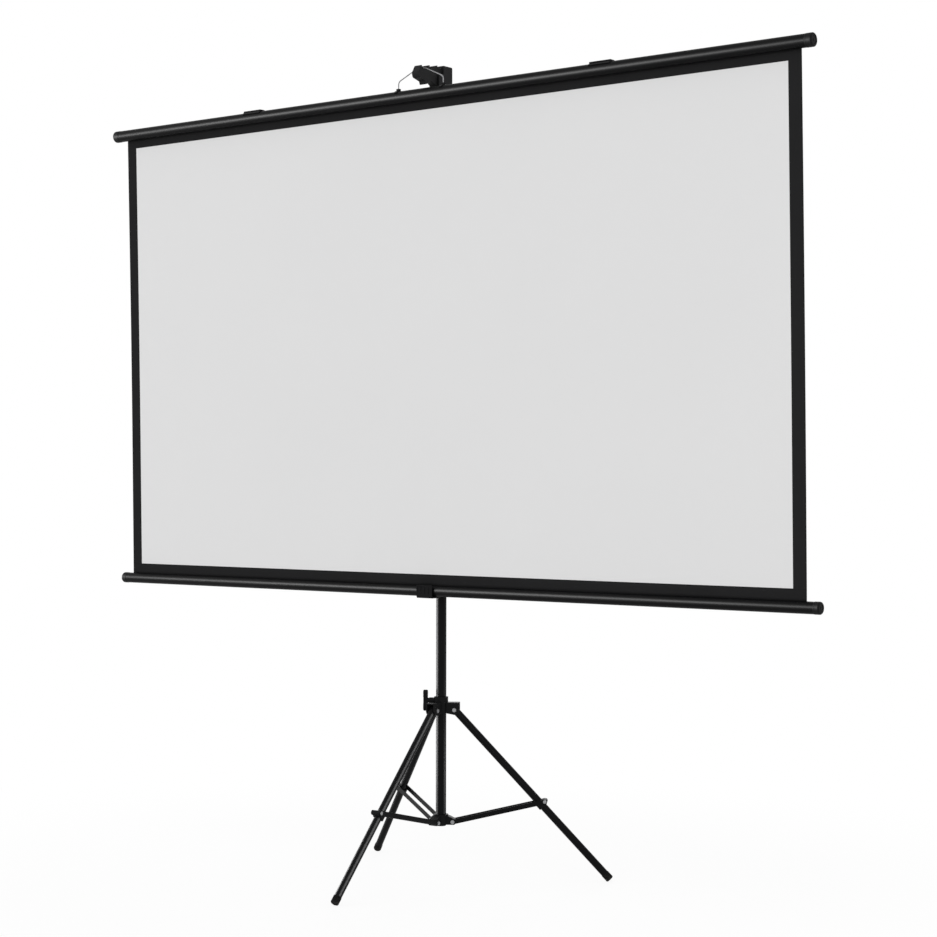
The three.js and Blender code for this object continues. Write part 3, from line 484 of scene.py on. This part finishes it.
def foot_profile():
    """The inside of the cap, its lip, the ribs round its sleeve, and its rounded end at 0."""
    lip = -foot_end - foot_sleeve
    groove = foot_radius - rib_depth
    profile = [(0, -foot_end), (leg_radius, -foot_end), (leg_radius, lip), (groove, lip)]
    for rib in range(rib_count):
        low = lip + first_rib + rib * rib_pitch
        profile += [(foot_radius, low + rib_edge), (foot_radius, low + rib_top)]
        profile += [(groove, low + groove_start), (groove, low + groove_end)]
    profile.append((foot_radius, lip + foot_barrel + rib_count * rib_pitch))
    return profile + quarter_round(foot_radius, 0, foot_round) + [(0, 0)]


def cut_at_floor(shape):
    """Take off what lies below the floor, and close the cut."""
    whole = shape.verts[:] + shape.edges[:] + shape.faces[:]
    bmesh.ops.bisect_plane(shape, geom=whole, plane_co=(0, 0, 0), plane_no=up_way, clear_inner=True)
    bmesh.ops.holes_fill(shape, edges=[edge for edge in shape.edges if edge.is_boundary])
    bmesh.ops.recalc_face_normals(shape, faces=shape.faces)


for side in sides:
    pivot, along, _, axis = leg_line(side)
    tube_end = leg_length - foot_end
    wall = [(leg_bore, -leg_head), (leg_radius, -leg_head), (leg_radius, tube_end), (leg_bore, tube_end)]
    tube = soften(turned(wall, leg_facets), tube_edge)
    tube.transform(aim(pivot, along, axis))
    leg = steel_part(f"leg_{side}_tube", f"leg_{side}", tube, f"leg_{side}")
    pole_gloss.link(leg)
    if side == "front":
        leg_gloss.link(leg)

    plug = turned(plug_profile(), leg_facets)
    plug.transform(aim(pivot - along * leg_head, -along, axis))
    piece(f"leg_{side}_top_plug", plug, black_plastic, f"leg_{side}")

    tip = turned(foot_profile(), leg_facets)
    tip.transform(aim(pivot + along * leg_length, along, axis))
    cut_at_floor(tip)
    piece(f"foot_{side}_cap", tip, rubber, f"leg_{side}", [f"foot_{side}"])

    node = f"leg_bracket_{side}"
    nylon_part(f"leg_{side}_bracket", node, moulded(node, bracket_edge, segments=3), f"leg_{side}")


# Struts
# Pairs of flat steel bars, sheared and rounded at the ends, that brace each leg from the collar.
# They turn on bright zinc-plated bolts at the collar, and on domed rivets at the leg bracket.
def zinc_plate():
    """Bright zinc on turned steel: a fine uneven grain, and small dull spots."""
    material, start, shader = new_material("bright_zinc")
    bright = (0.32, 0.325, 0.33, 1)
    dull = (0.20, 0.20, 0.205, 1)
    spots = noise(start, 320.0).ramp(0.5, 0.75)
    tone = noise(start, 60.0)
    (tone * 0.6 + spots * 0.4).mix(bright, dull).into(shader, "Base Color")
    (0.30 + spots * 0.16 + tone * 0.06).into(shader, "Roughness")
    bump(noise(start, 1800.0), strength=0.15, distance=0.00008).into(shader, "Normal")
    shader.inputs["Metallic"].default_value = 1.0
    return material


bright_zinc = zinc_plate()
small_facets = 32
strut_inner = 0.0125
strut_outer = 0.0150
strut_thickness = strut_outer - strut_inner
strut_width = 0.013
strut_round = 0.499 * strut_width
strut_edge = 0.0003

rivet_radius = 0.0024
rivet_head = 0.0050
rivet_height = 0.0024
rivet_rim = 0.0005
rivet_steps = 6

bolt_radius = 0.0030
bolt_end = 0.001
washer_radius = 0.0055
washer_height = 0.0008
hex_radius = 0.0050
hex_height = 0.0026
hex_edge = 0.0004
hex_gap = 0.00002
strut_play = 0.0001
strut_grip = strut_outer + strut_play
cheek_outer = 0.0144


def zinc_part(name, node, shape, body):
    """A zinc-plated bolt, rivet or screw in place of its node."""
    return piece(name, shape, bright_zinc, body, [node])


def rivet():
    """Domed rivet along Z, its shank from 0 and its head on the outer face of the bar."""
    rim = strut_thickness + rivet_rim
    profile = [(0, 0), (rivet_radius, 0), (rivet_radius, strut_thickness)]
    profile += [(rivet_head, strut_thickness), (rivet_head, rim)]
    for step in range(1, rivet_steps):
        angle = step / rivet_steps * pi / 2
        profile.append((rivet_head * cos(angle), rim + (rivet_height - rivet_rim) * sin(angle)))
    profile.append((0, strut_thickness + rivet_height))
    return turned(profile, small_facets)


def hex_bolt(half_grip):
    """Bolt along Z: a hexagon head on a washer at one end, and a nut on a washer at the other."""
    stack = half_grip + washer_height
    end = stack + bolt_end
    shape = turned([
        (0, -end), (bolt_radius, -end), (bolt_radius, -stack),
        (washer_radius, -stack), (washer_radius, -half_grip), (bolt_radius, -half_grip),
        (bolt_radius, half_grip), (washer_radius, half_grip), (washer_radius, stack),
        (bolt_radius, stack), (bolt_radius, end), (0, end),
    ], small_facets)
    for way in (-1, 1):
        head = bmesh.ops.create_cone(
            shape, cap_ends=True, segments=6, radius1=hex_radius, radius2=hex_radius, depth=hex_height,
            matrix=Matrix.Translation((0, 0, way * (stack + hex_height / 2 + hex_gap))),
        )
        corners = set(head["verts"])
        edges = [edge for edge in shape.edges if set(edge.verts) <= corners]
        round_off(shape, edges, hex_edge, segments=2)
    return shape


def flat_bar(length):
    """A bar along Z between two pivots, thick along X, its ends rounded to just under half its width."""
    shape = bmesh.new()
    bmesh.ops.create_cube(shape, size=1.0)
    size = (strut_thickness, strut_width, length + strut_width)
    bmesh.ops.scale(shape, vec=size, verts=shape.verts)
    across = [
        edge for edge in shape.edges
        if abs(edge.verts[0].co.x - edge.verts[1].co.x) > strut_thickness / 2
    ]
    round_off(shape, across, strut_round, segments=12)
    return soften(shape, strut_edge)


for side in sides:
    pivot, along, upper, axis = leg_line(side)
    collar_pivot = Vector(joints[f"strut_{side}_swing"]["pos_m"])
    station = pivot + along * strut_station + upper * strut_offset
    reach = station - collar_pivot
    for index, way in ((1, 1), (2, -1)):
        bar = flat_bar(reach.length)
        beside = axis * way * (strut_inner + strut_outer) / 2
        bar.transform(aim(collar_pivot + reach / 2 + beside, reach, axis))
        steel_part(f"strut_{side}_bar_{index}", f"strut_{side}_{index}", bar, f"strut_{side}")
        head = rivet()
        head.transform(aim(station + axis * way * strut_inner, axis * way, along))
        zinc_part(f"strut_{side}_rivet_{index}", f"strut_rivet_{side}_{index}", head, f"strut_{side}")

    collar_bolt = hex_bolt(strut_grip)
    collar_bolt.transform(aim(collar_pivot, axis, up_way))
    zinc_part(f"collar_{side}_bolt", f"strut_pivot_bolt_{side}", collar_bolt, "stand")
    hub_bolt = hex_bolt(cheek_outer)
    hub_bolt.transform(aim(pivot, axis, up_way))
    zinc_part(f"hub_{side}_bolt", f"leg_pivot_bolt_{side}", hub_bolt, "hub")


# Hub
# The moulded spider that slides on the column: a sleeve with a pair of cheeks for each leg,
# and a boss for the winged knob, whose screw clamps it at any height.
hub_edge = 0.0006
hub_radius = 0.019
hub_boss = 0.013
knob_edge = 0.0008
knob_seat = 0.0003
knob_reach = 0.016
finger_rib_count = 5
finger_rib_start = 0.0105
finger_rib_pitch = 0.0032
finger_rib_width = 0.0013
finger_rib_length = 0.0080
finger_rib_taper = 0.0007
finger_rib_height = 0.0009
finger_rib_rise = 0.0003
finger_rib_edge = 0.0003


def finger_ribs(joint, boss_end):
    """Low ribs across the outer face of a knob's two wings; the knob seats on a boss of that reach."""
    outward = Vector(joints[joint]["axis"])
    face = Vector(joints[joint]["pos_m"]) + outward * (boss_end + knob_seat + knob_reach)
    shape = bmesh.new()
    for way in (-1, 1):
        for index in range(finger_rib_count):
            across = way * (finger_rib_start + index * finger_rib_pitch)
            length = finger_rib_length - finger_rib_taper * index
            rib = bmesh.ops.create_cube(shape, size=1.0)["verts"]
            bmesh.ops.scale(shape, vec=(finger_rib_width, length, finger_rib_height), verts=rib)
            bmesh.ops.translate(shape, vec=(across, 0, finger_rib_rise), verts=rib)
    soften(shape, finger_rib_edge)
    shape.transform(aim(face, outward, up_way))
    return shape


nylon_part("hub_moulding", "leg_hub", moulded("leg_hub", hub_edge), "hub")
nylon_part("hub_knob_moulding", "hub_knob", moulded("hub_knob", knob_edge), "hub_knob")
hub_ribs = finger_ribs("hub_knob_turn", hub_radius + hub_boss)
piece("hub_knob_ribs", hub_ribs, black_plastic, "hub_knob")


# Mast
# The upper pole telescopes out of the column and is held by a moulded clamp on the column end. A winged
# thumb screw at the back of the clamp bears on it, and a guide bush runs inside the column.
mast_low, mast_high = box("mast")
mast_radius = (mast_high.x - mast_low.x) / 2
mast_wall = 0.0015
clamp_edge = 0.0006
clamp_radius = 0.0187
clamp_boss = 0.010
pole_gloss.link(upright_tube("mast_tube", "mast", mast_radius, mast_wall, "mast"))
nylon_part("mast_clamp_moulding", "mast_clamp", moulded("mast_clamp", clamp_edge), "stand")
clamp_knob = moulded("mast_clamp_knob", knob_edge)
nylon_part("mast_clamp_knob_moulding", "mast_clamp_knob", clamp_knob, "mast_clamp_knob")
clamp_ribs = finger_ribs("mast_clamp_turn", clamp_radius + clamp_boss)
piece("mast_clamp_knob_ribs", clamp_ribs, black_plastic, "mast_clamp_knob")


def refinish(node, material):
    """Give a CAD node that stays in view its finished material."""
    shown = frame["nodes"][node]
    if shown.material_slots:
        for holder in shown.material_slots:
            holder.material = material
    else:
        shown.data.materials.append(material)


refinish("mast_guide_bush", black_plastic)


# Head
# A moulded socket on the mast top carries the notched arm, held between its cheeks by a cross bolt.
# The arm reaches forward over the casing, and the bail hangs in one of its notches.
facing = 0.999
pocket_lean = 0.4


def sink(shape, way, least_area, edge, depth):
    """Sink the large flat faces that look along a way, and leave a raised edge round them."""
    flats = [
        face for face in shape.faces if face.normal.dot(way) > facing and face.calc_area() > least_area
    ]
    for face in flats:
        for thickness, drop in ((edge, 0.0), (depth * pocket_lean, -depth)):
            bmesh.ops.inset_region(
                shape, faces=[face], thickness=thickness, depth=drop,
                use_boundary=True, use_even_offset=True,
            )


charcoal_dark = (0.010, 0.010, 0.0105, 1)
charcoal_pale = (0.020, 0.020, 0.021, 1)
charcoal_plastic = moulded_plastic("charcoal_nylon", charcoal_dark, charcoal_pale)
across_way = Vector((1, 0, 0))
socket_edge = 0.0012
arm_edge = 0.0008
arm_side_area = 0.003
arm_rim = 0.0007
arm_pocket = 0.0008
head_low, head_high = box("head_socket")
bolt_low, bolt_high = box("arm_bolt")
head_half = (head_high.x - head_low.x) / 2
bolt_middle = (bolt_low + bolt_high) / 2
socket = moulded("head_socket", socket_edge, segments=3)
nylon_part("head_socket_moulding", "head_socket", socket, "mast", charcoal_plastic)
arm = moulded("keystone_arm", arm_edge, segments=3)
for way in (-across_way, across_way):
    sink(arm, way, arm_side_area, arm_rim, arm_pocket)
nylon_part("keystone_arm_moulding", "keystone_arm", arm, "mast", charcoal_plastic)
cross_bolt = hex_bolt(head_half)
cross_bolt.transform(aim(bolt_middle, across_way, up_way))
zinc_part("arm_cross_bolt", "arm_bolt", cross_bolt, "mast")


# Casing
# A drawn aluminium tube in satin black lacquer, slotted underneath for the fabric, with a moulded
# cap pushed into each end. The caps carry the spring roller on a fixed spindle and an idle pin.
def lacquer():
    """Satin black lacquer on aluminium: fine die lines along the tube, and small dull patches."""
    material, start, shader = new_material("black_lacquer")
    dark = (0.002, 0.002, 0.0022, 1)
    pale = (0.005, 0.005, 0.0055, 1)
    lines = noise(start, 3200.0, stretch=(0.002, 1, 1))
    patches = noise(start, 5.0, stretch=(0.4, 1, 1))
    specks = noise(start, 700.0).ramp(0.66, 0.72)
    (patches * 0.6 + specks * 0.4).mix(dark, pale).into(shader, "Base Color")
    (0.36 + patches * 0.08 + lines * 0.06 + specks * 0.05).into(shader, "Roughness")
    bump(lines, strength=0.12, distance=0.00004).into(shader, "Normal")
    shader.inputs["Specular IOR Level"].default_value = 0.05
    return material


black_lacquer = lacquer()
lift_way = Vector(joints["bar_lift"]["axis"]).normalized()
casing_axis = Vector(joints["roller_turn"]["pos_m"])
casing_low, casing_high = box("casing_tube")
casing_half = (casing_high.x - casing_low.x) / 2
casing_radius = (casing_high.z - casing_low.z) / 2
casing_cap_length = 0.020
tube_wall = 0.0012
slot_width = 0.005
slot_edge = 0.0003
slotted_facets = 96
roller_radius = 0.009
roller_gap = 0.0003
fabric_thickness = 0.0005
fabric_offset = roller_radius + roller_gap + fabric_thickness / 2

cap_facets = 72
cap_spigot = 0.014
cap_fit = 0.0003
cap_seam = 0.0002
cap_rim = 0.0005
cap_round = 0.004
cap_edge = 0.00025
cap_edge_angle = 50
cap_groove = 0.0042
cap_groove_depth = 0.0004
cap_groove_width = 0.0008
cap_face_rim = 0.0015
cap_dish_slope = 0.0012
cap_dish_depth = 0.0014
cap_pip_radius = 0.0030
cap_pip_foot = 0.0035
cap_pip_foot_depth = 0.0010
cap_pip_depth = 0.0004


def hang(at):
    """The matrix of the hanging parts: X across, Z up along the lift, at a point."""
    return aim(at, lift_way, across_way)


def slotted_tube(radius, half, slot_angle):
    """A lacquered tube along X with a slot along it, spun from the section of its wall."""
    half_slot = asin(slot_width / 2 / radius)
    start = slot_angle + half_slot
    bore = radius - tube_wall
    corners = [(bore, -half), (radius, -half), (radius, half), (bore, half)]
    shape = bmesh.new()
    points = [shape.verts.new((x, r * cos(start), r * sin(start))) for r, x in corners]
    section = [shape.edges.new(pair) for pair in zip(points, points[1:] + points[:1])]
    bmesh.ops.spin(
        shape, geom=points + section, cent=(0, 0, 0), axis=(1, 0, 0), dvec=(0, 0, 0),
        angle=2 * pi - 2 * half_slot, steps=slotted_facets, use_merge=False, use_duplicate=False,
    )
    bmesh.ops.holes_fill(shape, edges=[edge for edge in shape.edges if edge.is_boundary])
    bmesh.ops.recalc_face_normals(shape, faces=shape.faces)
    return soften(shape, slot_edge, segments=1)


def end_cap(radius, length):
    """A cap along Z, with its flange on the tube end at 0, a groove round its rim and a dished face."""
    outer = radius + cap_rim
    inner = radius - tube_wall - cap_fit
    face = outer - cap_round - cap_face_rim
    groove_foot = cap_groove + cap_groove_depth
    groove_top = groove_foot + cap_groove_width
    profile = [(0, -cap_spigot), (inner, -cap_spigot), (inner, cap_seam), (outer, cap_seam)]
    profile += [(outer, cap_groove), (outer - cap_groove_depth, groove_foot)]
    profile += [(outer - cap_groove_depth, groove_top), (outer, groove_top + cap_groove_depth)]
    profile += quarter_round(outer, length, cap_round)
    profile += [(face, length), (face - cap_dish_slope, length - cap_dish_depth)]
    profile += [(cap_pip_foot, length - cap_pip_foot_depth), (cap_pip_radius, length - cap_pip_depth)]
    profile += [(0, length - cap_pip_depth)]
    return soften(turned(profile, cap_facets), cap_edge, least_angle=cap_edge_angle)


def add_caps(name, node, axis_point, half, radius, length, body):
    """The pair of end caps on a tube along X."""
    for side, way in (("left", -across_way), ("right", across_way)):
        cap = end_cap(radius, length)
        cap.transform(aim(axis_point + way * half, way, lift_way))
        tube_gloss.link(nylon_part(f"{name}_cap_{side}_moulding", f"{node}_cap_{side}", cap, body))


slot_depth = sqrt((casing_radius - tube_wall / 2) ** 2 - fabric_offset**2)
casing = slotted_tube(casing_radius, casing_half, atan2(-slot_depth, fabric_offset))
casing.transform(hang(casing_axis))
tube_gloss.link(piece("casing_shell", casing, black_lacquer, "mast", ["casing_tube"]))
add_caps("casing", "casing", casing_axis, casing_half, casing_radius, casing_cap_length, "mast")


def mill_metal():
    """Bare metal inside the casing: drawn lines along it, dull and slightly stained."""
    material, start, shader = new_material("mill_metal")
    clean = (0.36, 0.36, 0.37, 1)
    stained = (0.24, 0.24, 0.25, 1)
    lines = noise(start, 600.0, stretch=(0.01, 1, 1))
    stains = noise(start, 30.0)
    (lines * 0.4 + stains * 0.6).mix(clean, stained).into(shader, "Base Color")
    (0.36 + stains * 0.18).into(shader, "Roughness")
    bump(lines, strength=0.15, distance=0.0001).into(shader, "Normal")
    shader.inputs["Metallic"].default_value = 1.0
    return material


bare_metal = mill_metal()
for node in ("roller_tube", "spring_spindle", "roller_spring", "hem_rod"):
    refinish(node, bare_metal)
for node in ("roller_plug_left", "roller_plug_right"):
    refinish(node, black_plastic)


# Casing fittings
# Two folded steel wall clips and two small lugs sit on top of the casing.
# The bail is one dull zinc-washed steel wire, bent to a low roof that drops into both lugs.
back_way = Vector((0, 1, 0))
pressing_edge = 0.0005
for side in ("left", "right"):
    for fitting in ("wall_clip", "bail_lug"):
        node = f"{fitting}_{side}"
        steel_part(f"{node}_pressing", node, moulded(node, pressing_edge), "mast")

bail_low, bail_high = box("hanger_bail")
bail_radius = 0.0015
bail_leg = (bail_high.x - bail_low.x) / 2 - bail_radius
bail_y = (bail_low.y + bail_high.y) / 2
bail_shoulder_rise = 0.042
bail_shoulder = casing_axis.z + bail_shoulder_rise
bail_top = bail_high.z - bail_radius
bail_crest = 0.015
bail_bend = 0.008
bail_corners = [
    Vector((-bail_leg, bail_y, bail_low.z)),
    Vector((-bail_leg, bail_y, bail_shoulder)),
    Vector((-bail_crest, bail_y, bail_top)),
    Vector((bail_crest, bail_y, bail_top)),
    Vector((bail_leg, bail_y, bail_shoulder)),
    Vector((bail_leg, bail_y, bail_low.z)),
]


def rounded_path(corners, bend, steps=7):
    """The points of a path whose corners are rounded by a bend length."""
    points = [corners[0]]
    for before, corner, after in zip(corners, corners[1:], corners[2:]):
        start = corner + (before - corner).normalized() * bend
        end = corner + (after - corner).normalized() * bend
        for step in range(steps + 1):
            share = step / steps
            points.append(start.lerp(corner, share).lerp(corner.lerp(end, share), share))
    points.append(corners[-1])
    return points


def wire(points, radius, facets=12):
    """A round wire along points that lie in one plane with normal Y, with closed ends."""
    shape = bmesh.new()
    ring = None
    for index, point in enumerate(points):
        ahead = points[min(index + 1, len(points) - 1)]
        behind = points[max(index - 1, 0)]
        made = bmesh.ops.create_circle(shape, cap_ends=False, segments=facets, radius=radius)["verts"]
        bmesh.ops.transform(shape, matrix=aim(point, ahead - behind, back_way), verts=made)
        edges = list({edge for vertex in made for edge in vertex.link_edges})
        if ring:
            bmesh.ops.bridge_loops(shape, edges=ring + edges)
        ring = edges
    bmesh.ops.holes_fill(shape, edges=[edge for edge in shape.edges if edge.is_boundary])
    bmesh.ops.recalc_face_normals(shape, faces=shape.faces)
    return shape


def drawn_wire():
    """Drawn steel wire with a dull zinc wash: streaked along its length, darker in patches."""
    material, start, shader = new_material("dull_zinc_wire")
    washed = (0.32, 0.32, 0.325, 1)
    worn = (0.18, 0.18, 0.185, 1)
    patches = noise(start, 90.0)
    streaks = noise(start, 900.0, stretch=(0.2, 1, 0.2))
    (patches * 0.6 + streaks * 0.4).mix(washed, worn).into(shader, "Base Color")
    (0.32 + patches * 0.16).into(shader, "Roughness")
    bump(streaks, strength=0.15, distance=0.00006).into(shader, "Normal")
    shader.inputs["Metallic"].default_value = 1.0
    return material


bail = wire(rounded_path(bail_corners, bail_bend), bail_radius)
piece("bail_wire", bail, drawn_wire(), "mast", ["hanger_bail"])


# Screen fabric
# One sheet of coated cloth, matt white in front with a printed black border, and black behind.
# It comes off the back of the roller through the slot and runs taut to the rod in its hem. As it
# winds up, all but the lower border goes on the roller, and that border rises with the bar.
fabric_low, fabric_high = box("screen_fabric")
fabric_width = fabric_high.x - fabric_low.x
fabric_drop = (fabric_high.z - fabric_low.z) / lift_way.z
view_width = 2.214
view_height = 1.245
top_band = 0.0394
view_foot = -top_band - view_height
parting_drop = 0.0012
parting = view_foot - parting_drop
border_columns = 6
view_columns = 96
lower_rows = 4
view_rows = 64
upper_rows = 5

edge_curl = 0.0016
curl_reach = 0.09
ripple = 0.0007
ripple_rate = 5.2
ripple_start = 0.6
slack_power = 0.7


def lines_between(stops, counts):
    """Coordinates that divide each stretch between two stops into that many steps."""
    values = [stops[0]]
    for start, end, count in zip(stops, stops[1:], counts):
        values += [start + (end - start) * (step + 1) / count for step in range(count)]
    return values


def bow(x, z):
    """How far the cloth stands back from flat: its edges curl, it waves a little, its ends are held."""
    down = -z / fabric_drop
    free = sin(pi * min(max(down, 0), 1)) ** slack_power
    inward = max(0, 1 - (fabric_width / 2 - abs(x)) / curl_reach)
    wave = ripple * (1 + sin(x * ripple_rate + ripple_start)) * sin(pi * down)
    return (edge_curl * inward**2 + wave) * free


def screen_grid(rows):
    """A grid with lines on the border of the view, bowed back a little, with its print on the faces."""
    half_view = view_width / 2
    stops = [-fabric_width / 2, -half_view, half_view, fabric_width / 2]
    columns = lines_between(stops, [border_columns, view_columns, border_columns])
    shape = bmesh.new()
    bmesh.ops.create_grid(shape, x_segments=len(columns) - 1, y_segments=len(rows) - 1, size=1.0)
    cloth = shape.loops.layers.uv.new("cloth")
    for vertex in shape.verts:
        column = round((vertex.co.x + 1) / 2 * (len(columns) - 1))
        row = round((vertex.co.y + 1) / 2 * (len(rows) - 1))
        x, z = columns[column], rows[row]
        vertex.co = Vector((x, fabric_offset + bow(x, z), z))
    for face in shape.faces:
        middle = face.calc_center_median()
        inside = abs(middle.x) < half_view and view_foot < middle.z < -top_band
        face.material_index = 0 if inside else 1
        for loop in face.loops:
            loop[cloth].uv = (loop.vert.co.x, loop.vert.co.z)
    bmesh.ops.recalc_face_normals(shape, faces=shape.faces)
    if next(iter(shape.faces)).normal.y > 0:
        bmesh.ops.reverse_faces(shape, faces=shape.faces)
    return shape


def cloth_weave(start, pitch):
    """Threads over and under, on the sheet's own UV map in metres."""
    sheet = start.node("UVMap", {"uv_map": "cloth"}, {})
    across = start.node("SeparateXYZ", {}, {0: sheet}, 0)
    down = start.node("SeparateXYZ", {}, {0: sheet}, 1)
    turns = 2 * pi / pitch
    return start.maths("SINE", across * turns) * start.maths("SINE", down * turns)


def coated_front():
    """Matt white screen coating: a fine pebbled face over the weave, and the faintest clouding."""
    material, start, shader = new_material("white_screen_face")
    shaded = (0.700, 0.700, 0.702, 1)
    clear = (0.725, 0.725, 0.726, 1)
    cloud = noise(start, 2.2)
    pebble = noise(start, 1400.0, detail=2.0)
    weave = cloth_weave(start, pitch=0.0011)
    (cloud * 0.7 + pebble * 0.3).mix(shaded, clear).into(shader, "Base Color")
    (0.88 + pebble * 0.08).into(shader, "Roughness")
    bump(pebble * 0.7 + weave * 0.15, strength=0.18, distance=0.00015).into(shader, "Normal")
    shader.inputs["Specular IOR Level"].default_value = 0.06
    return material


def black_cloth(name, colour):
    """Black coated cloth: a plain weave that shows close to, slightly uneven in tone."""
    material, start, shader = new_material(name)
    dark = tuple(0.8 * channel for channel in colour) + (1,)
    pale = tuple(1.2 * channel for channel in colour) + (1,)
    cloud = noise(start, 6.0)
    weave = cloth_weave(start, pitch=0.0009)
    (cloud * 0.7 + weave * 0.15 + 0.15).mix(dark, pale).into(shader, "Base Color")
    (0.74 + cloud * 0.10).into(shader, "Roughness")
    bump(weave, strength=0.3, distance=0.0001).into(shader, "Normal")
    shader.inputs["Specular IOR Level"].default_value = 0.02
    return material


white_face = coated_front()
black_border = black_cloth("black_border", (0.017, 0.017, 0.0175))
black_back = black_cloth("black_screen_back", (0.012, 0.012, 0.0125))


def hung_cloth(name, rows, body, nodes=()):
    """The cloth from the first to the last row, with its printed face, its back and its thickness."""
    made = piece(name, screen_grid(rows), white_face, body, nodes)
    for material in (black_border, black_back, black_back):
        made.data.materials.append(material)
    made.data.transform(hang(casing_axis))
    thickness = made.modifiers.new("cloth_thickness", "SOLIDIFY")
    thickness.thickness = fabric_thickness
    thickness.offset = 0
    thickness.material_offset = 2
    thickness.material_offset_rim = 2
    return made


border_grid = lines_between([-fabric_drop, parting], [lower_rows])
lower_border = hung_cloth("screen_lower_border", border_grid, "bottom_bar")
view_grid = lines_between([parting, view_foot, -top_band, 0], [1, view_rows, upper_rows])
fabric = hung_cloth("screen_sheet", view_grid, "mast", ["screen_fabric"])
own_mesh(fabric)


# Weight bar
# The lower tube, drawn like the casing, with its slot on top for the rod in the hem and a cap
# at each end. Its weight keeps the fabric taut, and the hook on the column holds it down.
bar_low, bar_high = box("bar_tube")
bar_half = (bar_high.x - bar_low.x) / 2
bar_radius = (bar_high.y - bar_low.y) / 2
bar_axis = (box("bar_cap_left")[0] + box("bar_cap_right")[1]) / 2
bar_cap_length = 0.017
bar = slotted_tube(bar_radius, bar_half, pi / 2)
bar.transform(hang(bar_axis))
tube_gloss.link(piece("weight_bar", bar, black_lacquer, "bottom_bar", ["bar_tube"]))
add_caps("weight_bar", "bar", bar_axis, bar_half, bar_radius, bar_cap_length, "bottom_bar")


# Bar hook
# A moulded nylon tray on a collar round the column, with three ribs on its sunk front.
# The weight bar lies in it, and a zinc-plated cap screw behind fixes its height.
hook_front = box("bar_hook")[0].y
hook_edge = 0.0007
hook_rim = 0.0035
hook_pocket = 0.0009
hook_front_area = 0.001
hook_rib_places = (-0.013, 0.0, 0.013)
hook_rib_width = 0.0032
hook_rib_height = 0.019
hook_rib_edge = 0.0005
hook_front_rise = 0.0015
hook = moulded("bar_hook", hook_edge)
sink(hook, -back_way, hook_front_area, hook_rim, hook_pocket)
nylon_part("bar_hook_moulding", "bar_hook", hook, "stand")
rib_middle = Vector((0, hook_front + hook_pocket, bar_axis.z + hook_front_rise))
rib_size = (hook_rib_width, 2 * hook_pocket, hook_rib_height)
hook_ribs = bmesh.new()
for across in hook_rib_places:
    rib = bmesh.ops.create_cube(hook_ribs, size=1.0)["verts"]
    bmesh.ops.scale(hook_ribs, vec=rib_size, verts=rib)
    bmesh.ops.translate(hook_ribs, vec=rib_middle + across_way * across, verts=rib)
soften(hook_ribs, hook_rib_edge)
piece("bar_hook_ribs", hook_ribs, black_plastic, "stand")

screw_low, screw_high = box("hook_screw")
screw_middle = (screw_low + screw_high) / 2
screw_facets = 36
screw_radius = 0.0025
screw_head = 0.006
screw_head_height = 0.005
screw_head_round = 0.0006
screw_socket = 0.0026
screw_socket_depth = 0.0026
screw_edge = 0.00025


def cap_screw(length):
    """A cap screw along Z, head last: plain barrel, chamfered rim and a round socket."""
    head = length - screw_head_height
    socket_foot = length - screw_socket_depth
    shape = turned([
        (0, 0), (screw_radius, 0), (screw_radius, head), (screw_head, head),
        (screw_head, length - screw_head_round), (screw_head - screw_head_round, length),
        (screw_socket, length), (screw_socket, socket_foot), (0, socket_foot),
    ], screw_facets)
    return soften(shape, screw_edge)


screw = cap_screw(screw_high.y - screw_low.y)
screw_tip = Vector((screw_middle.x, screw_low.y, screw_middle.z))
screw.transform(aim(screw_tip, back_way, up_way))
zinc_part("hook_cap_screw", "hook_screw", screw, "stand")
